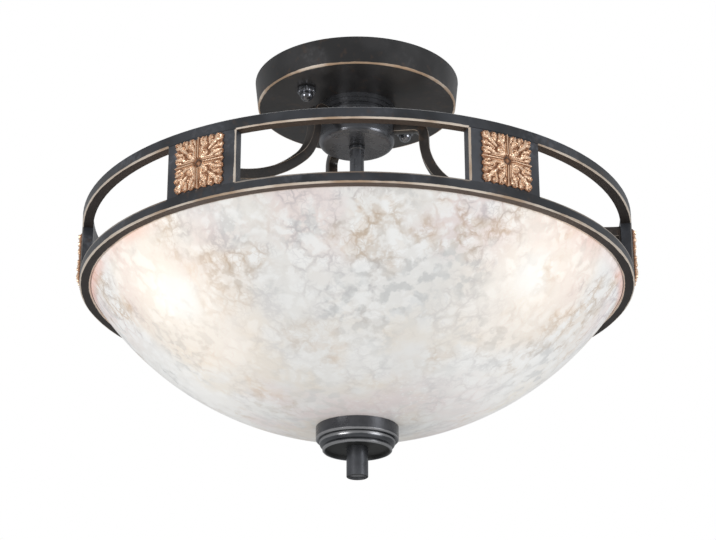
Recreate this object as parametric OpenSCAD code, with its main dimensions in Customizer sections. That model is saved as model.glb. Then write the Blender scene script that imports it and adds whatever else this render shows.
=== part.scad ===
// Semi-flush ceiling light. A glass bowl hangs under a windowed metal gallery,
// which three curved arms carry from a hub below the ceiling canopy.
// Millimetres, +Z up. The origin is the middle of the canopy at the ceiling.
// Angles about Z are counted from +X. The photographed front is the -Y side.

/* [Mounting strap] */
// Length of the strap across the ceiling box
strap_len = 138; // [130:1:150]
// Width of the strap
strap_w = 20; // [16:0.5:26]
// Thickness of the strap and of its stepped ends
strap_t = 2.5; // [1.5:0.1:3.5]
// How far the strap's ends step down from the ceiling
strap_step = 6; // [5:0.5:8]
// Turn of the strap about the light's axis
strap_turn = 43; // [0:1:180]
// Distance between the two ceiling box screw holes
box_screw_spacing = 88.9; // [80:0.1:92]
// Diameter of a ceiling box screw hole
box_hole_d = 4.8; // [4:0.1:5.5]
// Diameter of the hole in the middle of the strap
strap_centre_d = 10.5; // [8:0.1:14]
// Distance of the ground screw from the strap's middle
ground_screw_x = 25; // [18:1:32]

/* [Canopy] */
// Radius of the canopy at the ceiling
canopy_top_r = 87.7; // [82:0.1:100]
// Radius of the canopy at its lower edge
canopy_low_r = 85.1; // [78:0.1:88]
// Depth of the canopy
canopy_h = 23.4; // [21:0.1:32]
// Sheet thickness of the canopy
canopy_wall = 1.5; // [1:0.1:2.5]
// Width of the rubbed edge round the canopy
canopy_edge = 0.9; // [0.4:0.1:1.4]

/* [Canopy studs and knobs] */
// Distance of each stud from the light's axis
stud_at = 58; // [55:0.5:64]
// Diameter of a stud
stud_d = 4; // [3:0.1:5]
// Radius of a knob's collar
knob_r = 7.8; // [6:0.1:9]
// Height of a knob's collar
knob_collar_h = 5; // [4:0.1:7]
// Radius of the ball under the collar
knob_ball_r = 5.6; // [4.5:0.1:6.5]
// How far a stud reaches into its knob
knob_grip = 6.5; // [4:0.1:8]

/* [Neck and hub] */
// Radius of the largest disc of the stepped neck
neck_r = 33.3; // [30:0.1:40]
// Height of one disc of the neck
neck_step_h = 3.6; // [2.5:0.1:5]
// How much smaller each disc is than the one above
neck_step_in = 1.9; // [1:0.1:3]
// Radius of the hub
hub_r = 32.2; // [29:0.1:38]
// Height of the hub
hub_h = 25.2; // [22:0.1:32]
// Wall thickness of the hub
hub_wall = 2; // [1.5:0.1:3]
// Rounding of the hub's lower shoulder
hub_round = 5; // [2:0.1:7]
// Radius of the round nut under the hub
hub_nut_r = 6.8; // [6.6:0.1:9]
// Height of the round nut
hub_nut_h = 4; // [3:0.1:6]

/* [Rod] */
// Diameter of the threaded pipe
pipe_d = 9.9; // [9:0.1:11]
// Bore of the threaded pipe
pipe_bore = 6.6; // [6:0.1:7]
// Wall of the tube that covers the pipe
rod_wall = 1; // [0.8:0.1:1.5]
// Width across the flats of the pipe's nuts
pipe_nut_af = 14; // [13:0.5:17]
// Height of a pipe nut
pipe_nut_h = 5; // [4:0.1:6]

/* [Arms] */
// Side of the square bar
arm_w = 8.5; // [6:0.1:10]
// Height of the bar's middle below the top of the hub
arm_hub_drop = 9.6; // [8:0.1:12]
// Distance from the light's axis to the upright stretch
arm_rise_r = 58; // [54:0.5:64]
// Radius of the bend at the top
arm_bend_r = 9; // [7:0.1:11]
// Length of the upright stretch
arm_upright = 4; // [3:0.1:13]
// Radius of the first, tighter curve
arm_curve_r = 54; // [40:0.5:64]
// How far an arm's end lies below the top of the windows
arm_end_drop = 2; // [0:0.1:6]
// Angle of each arm from the middle of its gallery panel
arm_offset = 6.5; // [6:0.05:6.55]
// Thickness of the foot plate at the end of an arm
foot_t = 2; // [1.5:0.1:3]
// How far the foot plate reaches below the bar
foot_drop = 12.5; // [10:0.1:15]
// Diameter of the screw in a foot plate
foot_screw_d = 3.9; // [3:0.1:4.4]
// Diameter of the screw that holds an arm to the hub
hub_screw_d = 4.3; // [3:0.1:5]

/* [Gallery] */
// Outer radius of the gallery
ring_r = 229; // [215:0.5:245]
// Height of the gallery
ring_h = 60.8; // [58:0.1:66]
// Distance from the ceiling to the top of the gallery
ring_drop = 136.5; // [130:0.1:143]
// Radial depth of the gallery's bars
ring_depth = 9; // [8:0.1:12]
// Height of the top band
top_band_h = 9.1; // [7:0.1:12]
// Height of the bottom band
bottom_band_h = 8.4; // [7:0.1:10]
// Width of the rubbed edges on the bands and panels
ring_edge = 0.9; // [0.4:0.1:1.4]
// Width of each solid panel, as an angle
panel_angle = 15.6; // [15.4:0.1:19]
// Turn of the panels about the light's axis
panel_turn = -0.9; // [-30:0.05:30]

/* [Medallions] */
// Side of a square medallion
medal_w = 43; // [36:0.5:43]
// Thickness of its plate
medal_t = 2; // [1.6:0.1:3]
// How far its leaves stand out from the plate
medal_relief = 1.8; // [1:0.1:2.5]
// Radius of its middle boss
medal_boss_r = 4.2; // [3:0.1:5]
// Diameter of the screws behind it
medal_screw_d = 2.9; // [2:0.1:3.2]
// Distance between those screws
medal_screw_gap = 22; // [18:0.5:26]

/* [Glass bowl] */
// Gap between the bowl's rim and the gallery
bowl_gap = 1.3; // [0.8:0.1:2]
// Depth of the bowl from its rim to its lowest point
bowl_depth = 115.7; // [105:0.1:125]
// Thickness of the glass
bowl_wall = 4.5; // [3.5:0.1:6]
// Diameter of the hole in the middle of the bowl
bowl_hole_d = 12.6; // [12:0.1:14]

/* [Bowl stop] */
// Radius of the steel plate above the glass
stop_r = 20; // [17:0.5:24]
// Thickness of that plate
stop_t = 2; // [1.5:0.1:3]
// Thickness of the rubber washer under it
stop_rubber_t = 2; // [1.5:0.1:3]

/* [Finial] */
// Radius of the cap under the glass
cap_r = 33.6; // [31:0.1:38]
// Height of the cap's upper tier
cap_upper_h = 10.9; // [9:0.1:14]
// Height of the cap's lower tier
cap_lower_h = 8.8; // [8:0.1:11]
// Radius of the lower tier
cap_low_r = 28.2; // [27:0.1:30]
// Depth of the hollow under the cap
cap_recess = 2.8; // [2:0.1:3.6]
// Thickness of the rubber ring between cap and glass
gasket_t = 1.2; // [0.8:0.1:1.6]
// Radius of the finial's stem
finial_r = 8.8; // [8:0.1:10]
// Length of the finial's stem
finial_len = 24.5; // [20:0.1:32]
// Length of thread that holds the finial
finial_grip = 13; // [12.5:0.1:15]

/* [Lampholders] */
// Height of the lampholders above the gallery's lower edge
socket_rise = 14; // [11:0.5:18]
// Turn of the lampholders about the light's axis
socket_turn = -33; // [-60:1:60]
// Radius of the round box that holds them
cluster_r = 24; // [23.5:0.1:27]
// Height of that box
cluster_h = 32; // [31.5:0.1:36]
// Wall thickness of the box
cluster_wall = 2; // [1.5:0.1:2.4]
// Radius of a lampholder's body
socket_r = 19; // [17.5:0.1:21]
// Radius of a lampholder's back part
socket_back_r = 14; // [12:0.1:15]
// Length of a lampholder's back part
socket_back_len = 12; // [11.5:0.1:15]
// Length of a lampholder's front part
socket_front_len = 34; // [30:0.5:38]
// Diameter of the short pipe behind a lampholder
nipple_d = 9.8; // [9:0.1:10.5]

/* [Bulbs] */
// Radius of the bulb's screw base
bulb_base_r = 13.05; // [12.5:0.05:13.3]
// Length of the screw base
bulb_base_len = 24; // [22:0.5:27]
// Radius of the glass globe
bulb_r = 30; // [26:0.5:32]
// Length of the glass from the base to its tip
bulb_glass_len = 83; // [75:0.5:90]
// Thickness of the bulb's glass
bulb_wall = 0.8; // [0.6:0.1:1.2]

/* [Wiring] */
// Diameter of an insulated lead
lead_d = 1.8; // [1.2:0.1:2]
// Radius of a lead's bends
lead_bend = 4; // [3.5:0.1:4.5]
// Distance from the light's axis to the twist-on wire caps
wire_cap_at = 32; // [28:1:38]
// Length of a twist-on wire cap
wire_cap_len = 20; // [16:0.5:24]

/* [Hidden] */
$fn = 96;
arms = 3;
panels = 6;
sockets = 3;
studs = 2;
neck_steps = 3;

// Clearances
touch = 0.05;
seat = 0.3;
slip = 0.1;

// Heights, from the ceiling down
strap_end_top_z = -strap_step;
strap_end_low_z = strap_end_top_z - strap_t;
canopy_low_z = -canopy_h;
canopy_floor_z = canopy_low_z + canopy_wall;
hub_top_z = canopy_low_z - neck_steps * neck_step_h;
hub_low_z = hub_top_z - hub_h;
arm_top_z = hub_top_z - arm_hub_drop;
ring_top_z = -ring_drop;
ring_low_z = ring_top_z - ring_h;
window_top_z = ring_top_z - top_band_h;
window_low_z = ring_low_z + bottom_band_h;
window_h = window_top_z - window_low_z;
socket_z = ring_low_z + socket_rise;
cluster_top_z = socket_z + cluster_h / 2;
cluster_low_z = socket_z - cluster_h / 2;

// Pipe, its washer and its cover
washer_t = 1.5;
washer_r = 12;
pipe_r = pipe_d / 2;
pipe_hole_r = pipe_r + slip + touch;
pipe_top_z = canopy_floor_z + washer_t + pipe_nut_h + 3;
rod_r = pipe_hole_r + rod_wall;
rod_top_z = hub_low_z - hub_nut_h;
rod_low_z = cluster_top_z + pipe_nut_h;

// Canopy studs, their nuts and heads
stud_head_h = 2.4;
stud_nut_h = 3.2;
stud_hole_r = stud_d / 2 + 0.4;
knob_top_z = canopy_low_z;
knob_ball_drop = knob_collar_h + 1.2;

// Arms: an upright bar, a tight curve and a wide one, tangent to each other
ring_in_r = ring_r - ring_depth;
arm_in_r = hub_r + slip;
foot_in_r = ring_in_r - slip - foot_t;
arm_end_z = window_top_z - arm_end_drop - arm_w / 2;
arm_curve_z = arm_top_z - arm_bend_r - arm_upright;
arm_fall = arm_curve_z - arm_end_z;
arm_reach = foot_in_r - arm_rise_r;
arm_turn = arm_turn_for(15, 80, 24);
arm_wide_r = (arm_reach - arm_curve_r * (1 - cos(arm_turn))) / cos(arm_turn);
arm_lap = 0.1;
arm_slim = 0.04;
foot_low_z = arm_end_z - arm_w / 2 - foot_drop;
foot_screw_z = arm_end_z - arm_w / 2 - foot_drop / 2;
foot_head_r = foot_screw_d;
foot_head_h = 2.8;
foot_screw_depth = ring_depth * 0.7;
hub_screw_depth = 10;
hub_head_r = hub_screw_d * 0.9;
hub_head_h = 2.6;

// Medallions
medal_back_r = ring_r + touch;
medal_z = (window_top_z + window_low_z) / 2;
medal_hole_depth = medal_t * 0.7;
medal_head_r = medal_screw_d * 0.9;
medal_head_h = 1.8;

// Bowl, its stop and the finial
bowl_rim_r = ring_in_r - bowl_gap;
bowl_rim_z = ring_low_z;
bowl_sphere_r = (bowl_rim_r * bowl_rim_r + bowl_depth * bowl_depth) / (2 * bowl_depth);
bowl_centre_z = bowl_rim_z - bowl_depth + bowl_sphere_r;
bowl_inner_r = bowl_sphere_r - bowl_wall;
rubber_r = stop_r - 2;
rubber_low_z = glass_z(bowl_inner_r, rubber_r) + seat;
stop_low_z = rubber_low_z + stop_rubber_t;
stop_nut_z = stop_low_z + stop_t;
cap_lip = 1.1;
gasket_out_r = cap_r - cap_lip - slip;
gasket_in_r = gasket_out_r - 4;
gasket_top_z = glass_z(bowl_sphere_r, gasket_in_r) - seat;
gasket_low_z = gasket_top_z - gasket_t;
cap_rim_z = glass_z(bowl_sphere_r, cap_r) - seat;
cap_mid_z = cap_rim_z - cap_upper_h;
cap_low_z = cap_mid_z - cap_lower_h;
cap_floor_t = 2;
cap_under_z = cap_low_z + cap_recess;
cap_hollow_r = gasket_in_r - 1.5;
finial_top_z = cap_under_z;
finial_low_z = finial_top_z - finial_len;
pipe_low_z = finial_top_z - finial_grip;

// Lampholders and bulbs, measured outwards along each one's own axis
socket_flat = cluster_r - cluster_wall;
socket_at = socket_flat + touch;
socket_shoulder = socket_at + socket_back_len;
socket_mouth = socket_shoulder + socket_front_len;
socket_floor = socket_shoulder + 2;
socket_bore_r = shell_out_r() + touch;
contact_t = 1.5;
contact_r = 4;
bulb_tip = socket_floor + contact_t + seat + touch;
bulb_tip_h = 3.5;
bulb_base_at = bulb_tip + bulb_tip_h;
bulb_glass_at = bulb_base_at + bulb_base_len;
bulb_neck_r = bulb_base_r + 0.2;
bulb_centre = bulb_glass_at + bulb_glass_len - bulb_r;
shell_len = socket_mouth - socket_floor - 3;
nipple_r = nipple_d / 2;
nipple_in = 14;
nipple_grip = 9;
nipple_nut_h = 4;
nipple_nut_af = nipple_d + 4;

// Wiring
lead_r = lead_d / 2;
lead_at = lead_r + 0.4;
lead_top_z = pipe_top_z + 1;
lead_exit_z = cluster_top_z - cluster_wall - 4;
lead_turns = [socket_turn + 180, socket_turn + 300];
lead_hole_r = 2.2;
crimp_at = 9;
crimp_len = 11;
crimp_r = 3;
wire_cap_r = 4.5;
wire_cap_grip = 4;
lug_t = 0.8;
lug_len = strap_w / 2 + 2;
ground_wire_r = 0.8;
ground_wire_len = 10;
ground_slope = 14;

// Height of a sphere of the bowl at the distance r from the axis
function glass_z(sphere_r, r) = bowl_centre_z - sqrt(sphere_r * sphere_r - r * r);

// Outer radius of the brass shell in a lampholder
function shell_in_r() = bulb_base_r + seat;
function shell_out_r() = shell_in_r() + 0.9;

// Turn of the first curve that makes an arm end level at its foot
function fall_for(turn) =
    arm_curve_r * sin(turn)
    + (arm_reach - arm_curve_r * (1 - cos(turn))) * (1 - sin(turn)) / cos(turn);
function arm_turn_for(low, high, left) =
    let (middle = (low + high) / 2)
    left == 0 ? middle
    : fall_for(middle) > arm_fall ? arm_turn_for(middle, high, left - 1)
    : arm_turn_for(low, middle, left - 1);

// Places of what repeats
function arm_angle(i) = panel_turn - arm_offset + i * 360 / arms;
function panel_centre(i) = panel_turn + i * 360 / panels;
function socket_angle(i) = socket_turn + i * 360 / sockets;

// Points of an arc from angle a to angle b
function arc(x, y, r, a, b, n) =
    [for (k = [0:n]) let (t = a + (b - a) * k / n) [x + r * cos(t), y + r * sin(t)]];

// Points of a curve that leaves p and reaches q with the corner c as its guide
function bend(p, c, q, n) =
    [for (k = [0:n]) let (t = k / n) (1 - t) * (1 - t) * p + 2 * t * (1 - t) * c + t * t * q];

// An upright solid of revolution from an outline of [radius, height] points
module turned(points) {
    rotate_extrude() polygon(points);
}

// A tube from z0 to z1
module tube(outer_r, inner_r, z0, z1) {
    translate([0, 0, z0]) difference() {
        cylinder(r = outer_r, h = z1 - z0);
        translate([0, 0, -1]) cylinder(r = inner_r, h = z1 - z0 + 2);
    }
}

// A six-sided nut with its hole, standing on z0
module hex_nut(across, hole_r, z0, h) {
    translate([0, 0, z0]) difference() {
        cylinder(r = across / 2 / cos(30), h = h, $fn = 6);
        translate([0, 0, -1]) cylinder(r = hole_r, h = h + 2);
    }
}

// Turns a child's +Z to point outwards at an angle and a height
module outwards(angle, z) {
    rotate([0, 0, angle]) translate([0, 0, z]) rotate([0, 90, 0]) children();
}

// A square bar bent in the XZ plane from angle a to angle b
module bar_arc(x, z, r, a, b, side = arm_w) {
    translate([x, 0, z]) rotate([90, 0, 0]) rotate([0, 0, a])
        rotate_extrude(angle = b - a) translate([r, 0]) square(side, center = true);
}

// A round wire bent in the XZ plane from angle a to angle b
module wire_arc(x, z, r, a, b) {
    translate([x, 0, z]) rotate([90, 0, 0]) rotate([0, 0, a])
        rotate_extrude(angle = b - a) translate([r, 0]) circle(r = lead_r, $fn = 24);
}

// Canopy and what holds it to the ceiling

module mounting_strap() {
    flat = strap_len / 2 - 18;
    end = strap_len / 2;
    color([0.72, 0.7, 0.66]) rotate([0, 0, strap_turn]) difference() {
        rotate([90, 0, 0]) translate([0, 0, -strap_w / 2]) linear_extrude(strap_w) polygon([
            [-end, strap_end_top_z], [-flat - strap_t, strap_end_top_z], [-flat, 0], [flat, 0],
            [flat + strap_t, strap_end_top_z], [end, strap_end_top_z], [end, strap_end_low_z],
            [flat, strap_end_low_z], [flat - strap_t, -strap_t], [strap_t - flat, -strap_t],
            [-flat, strap_end_low_z], [-end, strap_end_low_z]
        ]);
        translate([0, 0, -strap_t - 1]) cylinder(d = strap_centre_d, h = strap_t + 2);
        translate([ground_screw_x, 0, -strap_t - 1]) cylinder(r = 2.1, h = strap_t + 2);
        for (side = [-1, 1]) {
            translate([side * box_screw_spacing / 2, 0, -strap_t - 1])
                cylinder(d = box_hole_d, h = strap_t + 2);
            translate([side * stud_at, 0, strap_end_low_z - 1])
                cylinder(r = stud_d / 2 + touch, h = strap_t + 2);
        }
    }
}

module strap_studs() {
    color([0.75, 0.72, 0.6]) rotate([0, 0, strap_turn]) for (side = [-1, 1])
        translate([side * stud_at, 0, 0]) {
            translate([0, 0, knob_top_z - knob_grip])
                cylinder(d = stud_d, h = strap_end_top_z - knob_top_z + knob_grip);
            translate([0, 0, strap_end_top_z]) cylinder(d = 2 * stud_d, h = stud_head_h);
        }
}

module stud_lock_nuts() {
    color([0.7, 0.7, 0.7]) rotate([0, 0, strap_turn]) for (side = [-1, 1])
        translate([side * stud_at, 0, 0])
            hex_nut(stud_d * 1.75, stud_d / 2 + touch, strap_end_low_z - stud_nut_h, stud_nut_h);
}

module ground_screw() {
    color([0.15, 0.45, 0.2]) rotate([0, 0, strap_turn]) translate([ground_screw_x, 0, 0]) {
        translate([0, 0, -strap_t - lug_t - 2.6]) cylinder(r = 4.4, h = 2.6);
        translate([0, 0, -strap_t - lug_t]) cylinder(r = 2, h = strap_t + lug_t - touch);
    }
}

// A lug under the ground screw with a bare wire that slopes down from it
module ground_wire() {
    color([0.72, 0.42, 0.22]) {
        rotate([0, 0, strap_turn]) translate([ground_screw_x, 0, -strap_t - lug_t]) difference() {
            union() {
                cylinder(r = 4.6, h = lug_t);
                translate([-2, -lug_len, 0]) cube([4, lug_len, lug_t]);
            }
            translate([0, 0, -1]) cylinder(r = 2.1, h = lug_t + 2);
        }
        along_ground_wire()
            cylinder(r = ground_wire_r, h = ground_wire_len + wire_cap_grip - 0.5, $fn = 24);
    }
}

// Places a child's origin at the lug's end and its +Z along the ground wire
module along_ground_wire() {
    rotate([0, 0, strap_turn])
        translate([ground_screw_x, 1 - lug_len, -strap_t - lug_t + ground_wire_r / 2])
            rotate([90 + ground_slope, 0, 0]) children();
}

module canopy() {
    edge_r = canopy_low_r + canopy_edge * (canopy_top_r - canopy_low_r) / canopy_h;
    color([0.13, 0.12, 0.12]) difference() {
        turned([
            [pipe_hole_r, canopy_low_z], [canopy_low_r - canopy_edge, canopy_low_z],
            [edge_r, canopy_low_z + canopy_edge], [canopy_top_r, 0],
            [canopy_top_r - canopy_wall, 0], [canopy_low_r - canopy_wall, canopy_floor_z],
            [pipe_hole_r, canopy_floor_z]
        ]);
        rotate([0, 0, strap_turn]) for (side = [-1, 1])
            translate([side * stud_at, 0, canopy_low_z - 1])
                cylinder(r = stud_hole_r, h = canopy_wall + 2);
    }
}

// A cap nut: a rounded collar with a ball under it, and a blind hole for its stud
module canopy_knob(side) {
    round_r = 1.4;
    neck = sqrt(knob_ball_r * knob_ball_r - (knob_ball_drop - knob_collar_h) ^ 2);
    ball_top = atan2(knob_ball_drop - knob_collar_h, neck);
    color([0.2, 0.2, 0.21]) rotate([0, 0, strap_turn])
        translate([side * stud_at, 0, knob_top_z - touch]) difference() {
            rotate_extrude() polygon(concat(
                [[0, 0], [knob_r - 0.5, 0], [knob_r, -0.5]],
                arc(knob_r - round_r, round_r - knob_collar_h, round_r, 0, -90, 6),
                arc(0, -knob_ball_drop, knob_ball_r, ball_top, -90, 16)
            ));
            translate([0, 0, -knob_grip - 0.6]) cylinder(r = stud_d / 2 + touch, h = knob_grip + 1);
        }
}

// Three stepped discs in one casting, hollow below like the hub
module neck_collar() {
    hollow_r = neck_r - (neck_steps - 1) * neck_step_in - hub_wall - 0.5;
    plate_z = canopy_low_z - hub_wall;
    color([0.12, 0.12, 0.12]) turned(concat(
        [[hollow_r, hub_top_z], [hollow_r, plate_z]],
        [[pipe_hole_r, plate_z], [pipe_hole_r, canopy_low_z]],
        [for (k = [0:neck_steps - 1], low = [0, 1])
            [neck_r - k * neck_step_in, canopy_low_z - (k + low) * neck_step_h]]
    ));
}

module hub_cup() {
    inside_r = hub_r - hub_wall;
    floor_z = hub_low_z + hub_wall + 1;
    color([0.17, 0.16, 0.16]) difference() {
        turned(concat(
            [[pipe_hole_r, hub_low_z]],
            arc(hub_r - hub_round, hub_low_z + hub_round, hub_round, -90, 0, 8),
            [[hub_r, hub_top_z], [inside_r, hub_top_z], [inside_r, floor_z + hub_round / 2]],
            [[inside_r - hub_round / 2, floor_z], [pipe_hole_r, floor_z]]
        ));
        for (i = [0:arms - 1]) outwards(arm_angle(i), arm_top_z)
            cylinder(d = hub_screw_d + 2 * slip, h = hub_r + 1);
    }
}

module hub_nut() {
    color([0.3, 0.3, 0.31]) turned([
        [pipe_hole_r, rod_top_z], [hub_nut_r - 0.8, rod_top_z], [hub_nut_r, rod_top_z + 0.8],
        [hub_nut_r, hub_low_z - 0.8], [hub_nut_r - 0.8, hub_low_z], [pipe_hole_r, hub_low_z]
    ]);
}

// Rod

module threaded_pipe() {
    color([0.6, 0.57, 0.48]) difference() {
        tube(pipe_r, pipe_bore / 2, pipe_low_z, pipe_top_z);
        for (angle = lead_turns) outwards(angle, lead_exit_z) cylinder(r = lead_hole_r, h = pipe_d);
    }
}

module pipe_nuts() {
    nut_r = pipe_r + touch;
    color([0.66, 0.64, 0.58])
        for (z = [canopy_floor_z + washer_t, cluster_top_z, cluster_low_z - pipe_nut_h, stop_nut_z])
            hex_nut(pipe_nut_af, nut_r, z, pipe_nut_h);
}

module stem_washer() {
    color([0.7, 0.7, 0.7]) tube(washer_r, pipe_hole_r, canopy_floor_z, canopy_floor_z + washer_t);
}

module rod_cover() {
    color([0.2, 0.2, 0.2]) tube(rod_r, pipe_hole_r, rod_low_z, rod_top_z);
}

// Arms

module arm(i) {
    bend_x = arm_rise_r - arm_bend_r;
    color([0.15, 0.14, 0.13]) rotate([0, 0, arm_angle(i)]) difference() {
        union() {
            translate([arm_in_r, -arm_w / 2, arm_top_z - arm_w / 2])
                cube([bend_x - arm_in_r, arm_w, arm_w]);
            bar_arc(bend_x, arm_top_z - arm_bend_r, arm_bend_r, 0, 90);
            translate([arm_rise_r - arm_w / 2, -arm_w / 2, arm_curve_z])
                cube([arm_w, arm_w, arm_upright]);
            bar_arc(arm_rise_r + arm_curve_r, arm_curve_z, arm_curve_r, 180, 180 + arm_turn);
            bar_arc(foot_in_r, arm_end_z + arm_wide_r, arm_wide_r, 180 + arm_turn - arm_lap,
                270 + arm_lap, arm_w - arm_slim);
            translate([foot_in_r, -arm_w / 2, foot_low_z])
                cube([foot_t, arm_w, arm_end_z + arm_w / 2 - foot_low_z]);
        }
        translate([arm_in_r - 1, 0, arm_top_z]) rotate([0, 90, 0])
            cylinder(d = hub_screw_d + touch, h = hub_screw_depth + 1);
        translate([foot_in_r - 1, 0, foot_screw_z]) rotate([0, 90, 0])
            cylinder(d = foot_screw_d + 2 * slip, h = foot_t + 2);
    }
}

module arm_hub_screws() {
    inside_r = hub_r - hub_wall;
    flat_at = sqrt(inside_r * inside_r - hub_head_r * hub_head_r);
    color([0.6, 0.6, 0.6]) for (i = [0:arms - 1]) outwards(arm_angle(i), arm_top_z) {
        translate([0, 0, flat_at - hub_head_h]) cylinder(r = hub_head_r, h = hub_head_h);
        translate([0, 0, flat_at - 0.5])
            cylinder(d = hub_screw_d, h = arm_in_r + hub_screw_depth - 1 - flat_at);
    }
}

module arm_foot_screws() {
    color([0.3, 0.3, 0.3]) for (i = [0:arms - 1]) outwards(arm_angle(i), foot_screw_z) {
        translate([0, 0, foot_in_r - foot_head_h]) cylinder(r = foot_head_r, h = foot_head_h);
        translate([0, 0, foot_in_r]) cylinder(d = foot_screw_d, h = foot_t + foot_screw_depth);
    }
}

// Gallery

module gallery_top_band() {
    color([0.16, 0.16, 0.17]) turned([
        [ring_in_r, window_top_z], [ring_r - ring_edge, window_top_z],
        [ring_r, window_top_z + ring_edge], [ring_r, ring_top_z - ring_edge / 2],
        [ring_r - ring_edge / 2, ring_top_z], [ring_in_r, ring_top_z]
    ]);
}

module gallery_bottom_band() {
    color([0.16, 0.16, 0.17]) turned([
        [ring_in_r + ring_edge, ring_low_z], [ring_r - ring_edge, ring_low_z],
        [ring_r, ring_low_z + ring_edge], [ring_r, window_low_z],
        [ring_in_r, window_low_z], [ring_in_r, ring_low_z + ring_edge]
    ]);
}

// A solid panel between the bands, with rubbed upright edges and its screw holes
module gallery_panel(i) {
    cut = 4 * ring_edge;
    color([0.17, 0.17, 0.18]) rotate([0, 0, panel_centre(i)]) difference() {
        translate([0, 0, window_low_z]) rotate([0, 0, -panel_angle / 2])
            rotate_extrude(angle = panel_angle) translate([ring_in_r, 0]) square([ring_depth, window_h]);
        for (side = [-1, 1]) rotate([0, 0, side * panel_angle / 2])
            translate([ring_r - ring_edge / 2, -side * ring_edge / 2, window_low_z - 1])
                rotate([0, 0, side * 45]) translate([0, -cut, 0]) cube([cut, 2 * cut, window_h + 2]);
        if (i % 2 == 0) outwards(-arm_offset, foot_screw_z) translate([0, 0, ring_in_r - 1])
            cylinder(d = foot_screw_d + 2 * touch, h = foot_screw_depth + 1);
        for (up = [-1, 1]) outwards(0, medal_z + up * medal_screw_gap / 2)
            translate([0, 0, ring_in_r - 1]) cylinder(d = medal_screw_d + 2 * slip, h = ring_depth + 3);
    }
}

// A leaf outline along +X: two arcs that meet in points
module leaf(length, width) {
    r = (length * length + width * width) / (4 * width);
    intersection() {
        translate([length / 2, r - width / 2]) circle(r = r, $fn = 64);
        translate([length / 2, width / 2 - r]) circle(r = r, $fn = 64);
    }
}

// A square plate with a traditional rosette: a boss, four side leaves and
// four corner leaves that each split into three
module medallion(i) {
    half = medal_w / 2;
    leaf_start = medal_boss_r / 2;
    side_leaf = half - leaf_start - 1;
    corner_leaf = half * 1.3 - leaf_start;
    plate_out = ring_r + medal_t;
    color([0.72, 0.5, 0.36]) outwards(panel_centre(i), medal_z) difference() {
        union() {
            translate([-half, -half, ring_r - 3]) cube([medal_w, medal_w, medal_t + 3]);
            translate([0, 0, plate_out]) cylinder(r = medal_boss_r, h = medal_relief);
            translate([0, 0, plate_out]) linear_extrude(medal_relief * 0.6)
                for (k = [0:3]) rotate(k * 90) translate([leaf_start, 0]) leaf(side_leaf, 7);
            translate([0, 0, plate_out]) linear_extrude(medal_relief * 0.85)
                for (k = [0:3]) rotate(45 + k * 90) translate([leaf_start, 0]) {
                    leaf(corner_leaf, 6);
                    for (side = [-1, 1]) translate([corner_leaf * 0.3, 0]) rotate(side * 34)
                        leaf(corner_leaf * 0.55, 4.4);
                }
        }
        translate([-half - 1, 0, 0]) rotate([0, 90, 0]) cylinder(r = medal_back_r, h = medal_w + 2, $fn = 360);
        for (up = [-1, 1]) translate([up * medal_screw_gap / 2, 0, ring_r - 4])
            cylinder(d = medal_screw_d + 2 * touch, h = 4 + medal_hole_depth);
    }
}

module medallion_screws() {
    head_at = sqrt(ring_in_r * ring_in_r - medal_head_r * medal_head_r);
    color([0.3, 0.3, 0.3]) for (i = [0:panels - 1], up = [-1, 1])
        outwards(panel_centre(i), medal_z + up * medal_screw_gap / 2) {
            translate([0, 0, head_at - medal_head_h]) cylinder(r = medal_head_r, h = medal_head_h);
            translate([0, 0, head_at])
                cylinder(d = medal_screw_d, h = ring_r + medal_hole_depth - 0.3 - head_at);
        }
}

// Glass bowl and finial

module glass_bowl() {
    color([0.95, 0.93, 0.9]) difference() {
        intersection() {
            translate([0, 0, bowl_centre_z]) sphere(r = bowl_sphere_r, $fn = 180);
            translate([0, 0, bowl_rim_z - bowl_depth - 1])
                cylinder(r = bowl_rim_r + 10, h = bowl_depth + 1);
        }
        translate([0, 0, bowl_centre_z]) sphere(r = bowl_inner_r, $fn = 180);
        translate([0, 0, bowl_rim_z - bowl_depth - 1]) cylinder(d = bowl_hole_d, h = bowl_wall + 4);
    }
}

module bowl_stop_plate() {
    color([0.7, 0.7, 0.7]) tube(stop_r, pipe_hole_r, stop_low_z, stop_nut_z);
}

module bowl_washer() {
    color([0.15, 0.15, 0.15]) tube(rubber_r, pipe_hole_r, rubber_low_z, stop_low_z);
}

module bowl_gasket() {
    color([0.12, 0.12, 0.12]) tube(gasket_out_r, gasket_in_r, gasket_low_z, gasket_top_z);
}

// A cup that bears on the glass, with a rounded lower tier and a hollow underside
module finial_cap() {
    tier_r = cap_low_r + 2.6;
    bead_z = cap_low_z + cap_lower_h * 0.32;
    floor_z = cap_under_z + cap_floor_t;
    color([0.28, 0.28, 0.3]) turned(concat(
        [[pipe_hole_r, cap_under_z], [cap_low_r - 3.2, cap_under_z], [cap_low_r - 1.8, cap_low_z]],
        [[cap_low_r - 0.6, cap_low_z], [cap_low_r, cap_low_z + 0.6], [cap_low_r, bead_z - 0.5]],
        [[cap_low_r - 0.6, bead_z]],
        bend([cap_low_r - 0.2, bead_z + 0.3], [tier_r, bead_z + 1.2], [tier_r, cap_mid_z - 1], 6),
        [[tier_r - 0.4, cap_mid_z], [cap_r - 0.7, cap_mid_z], [cap_r, cap_mid_z + 0.7]],
        [[cap_r, cap_rim_z], [cap_r - cap_lip, cap_rim_z], [cap_r - cap_lip, gasket_low_z]],
        [[cap_hollow_r, gasket_low_z], [cap_hollow_r, cap_mid_z], [cap_low_r - 5, floor_z]],
        [[pipe_hole_r, floor_z]]
    ));
}

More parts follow.
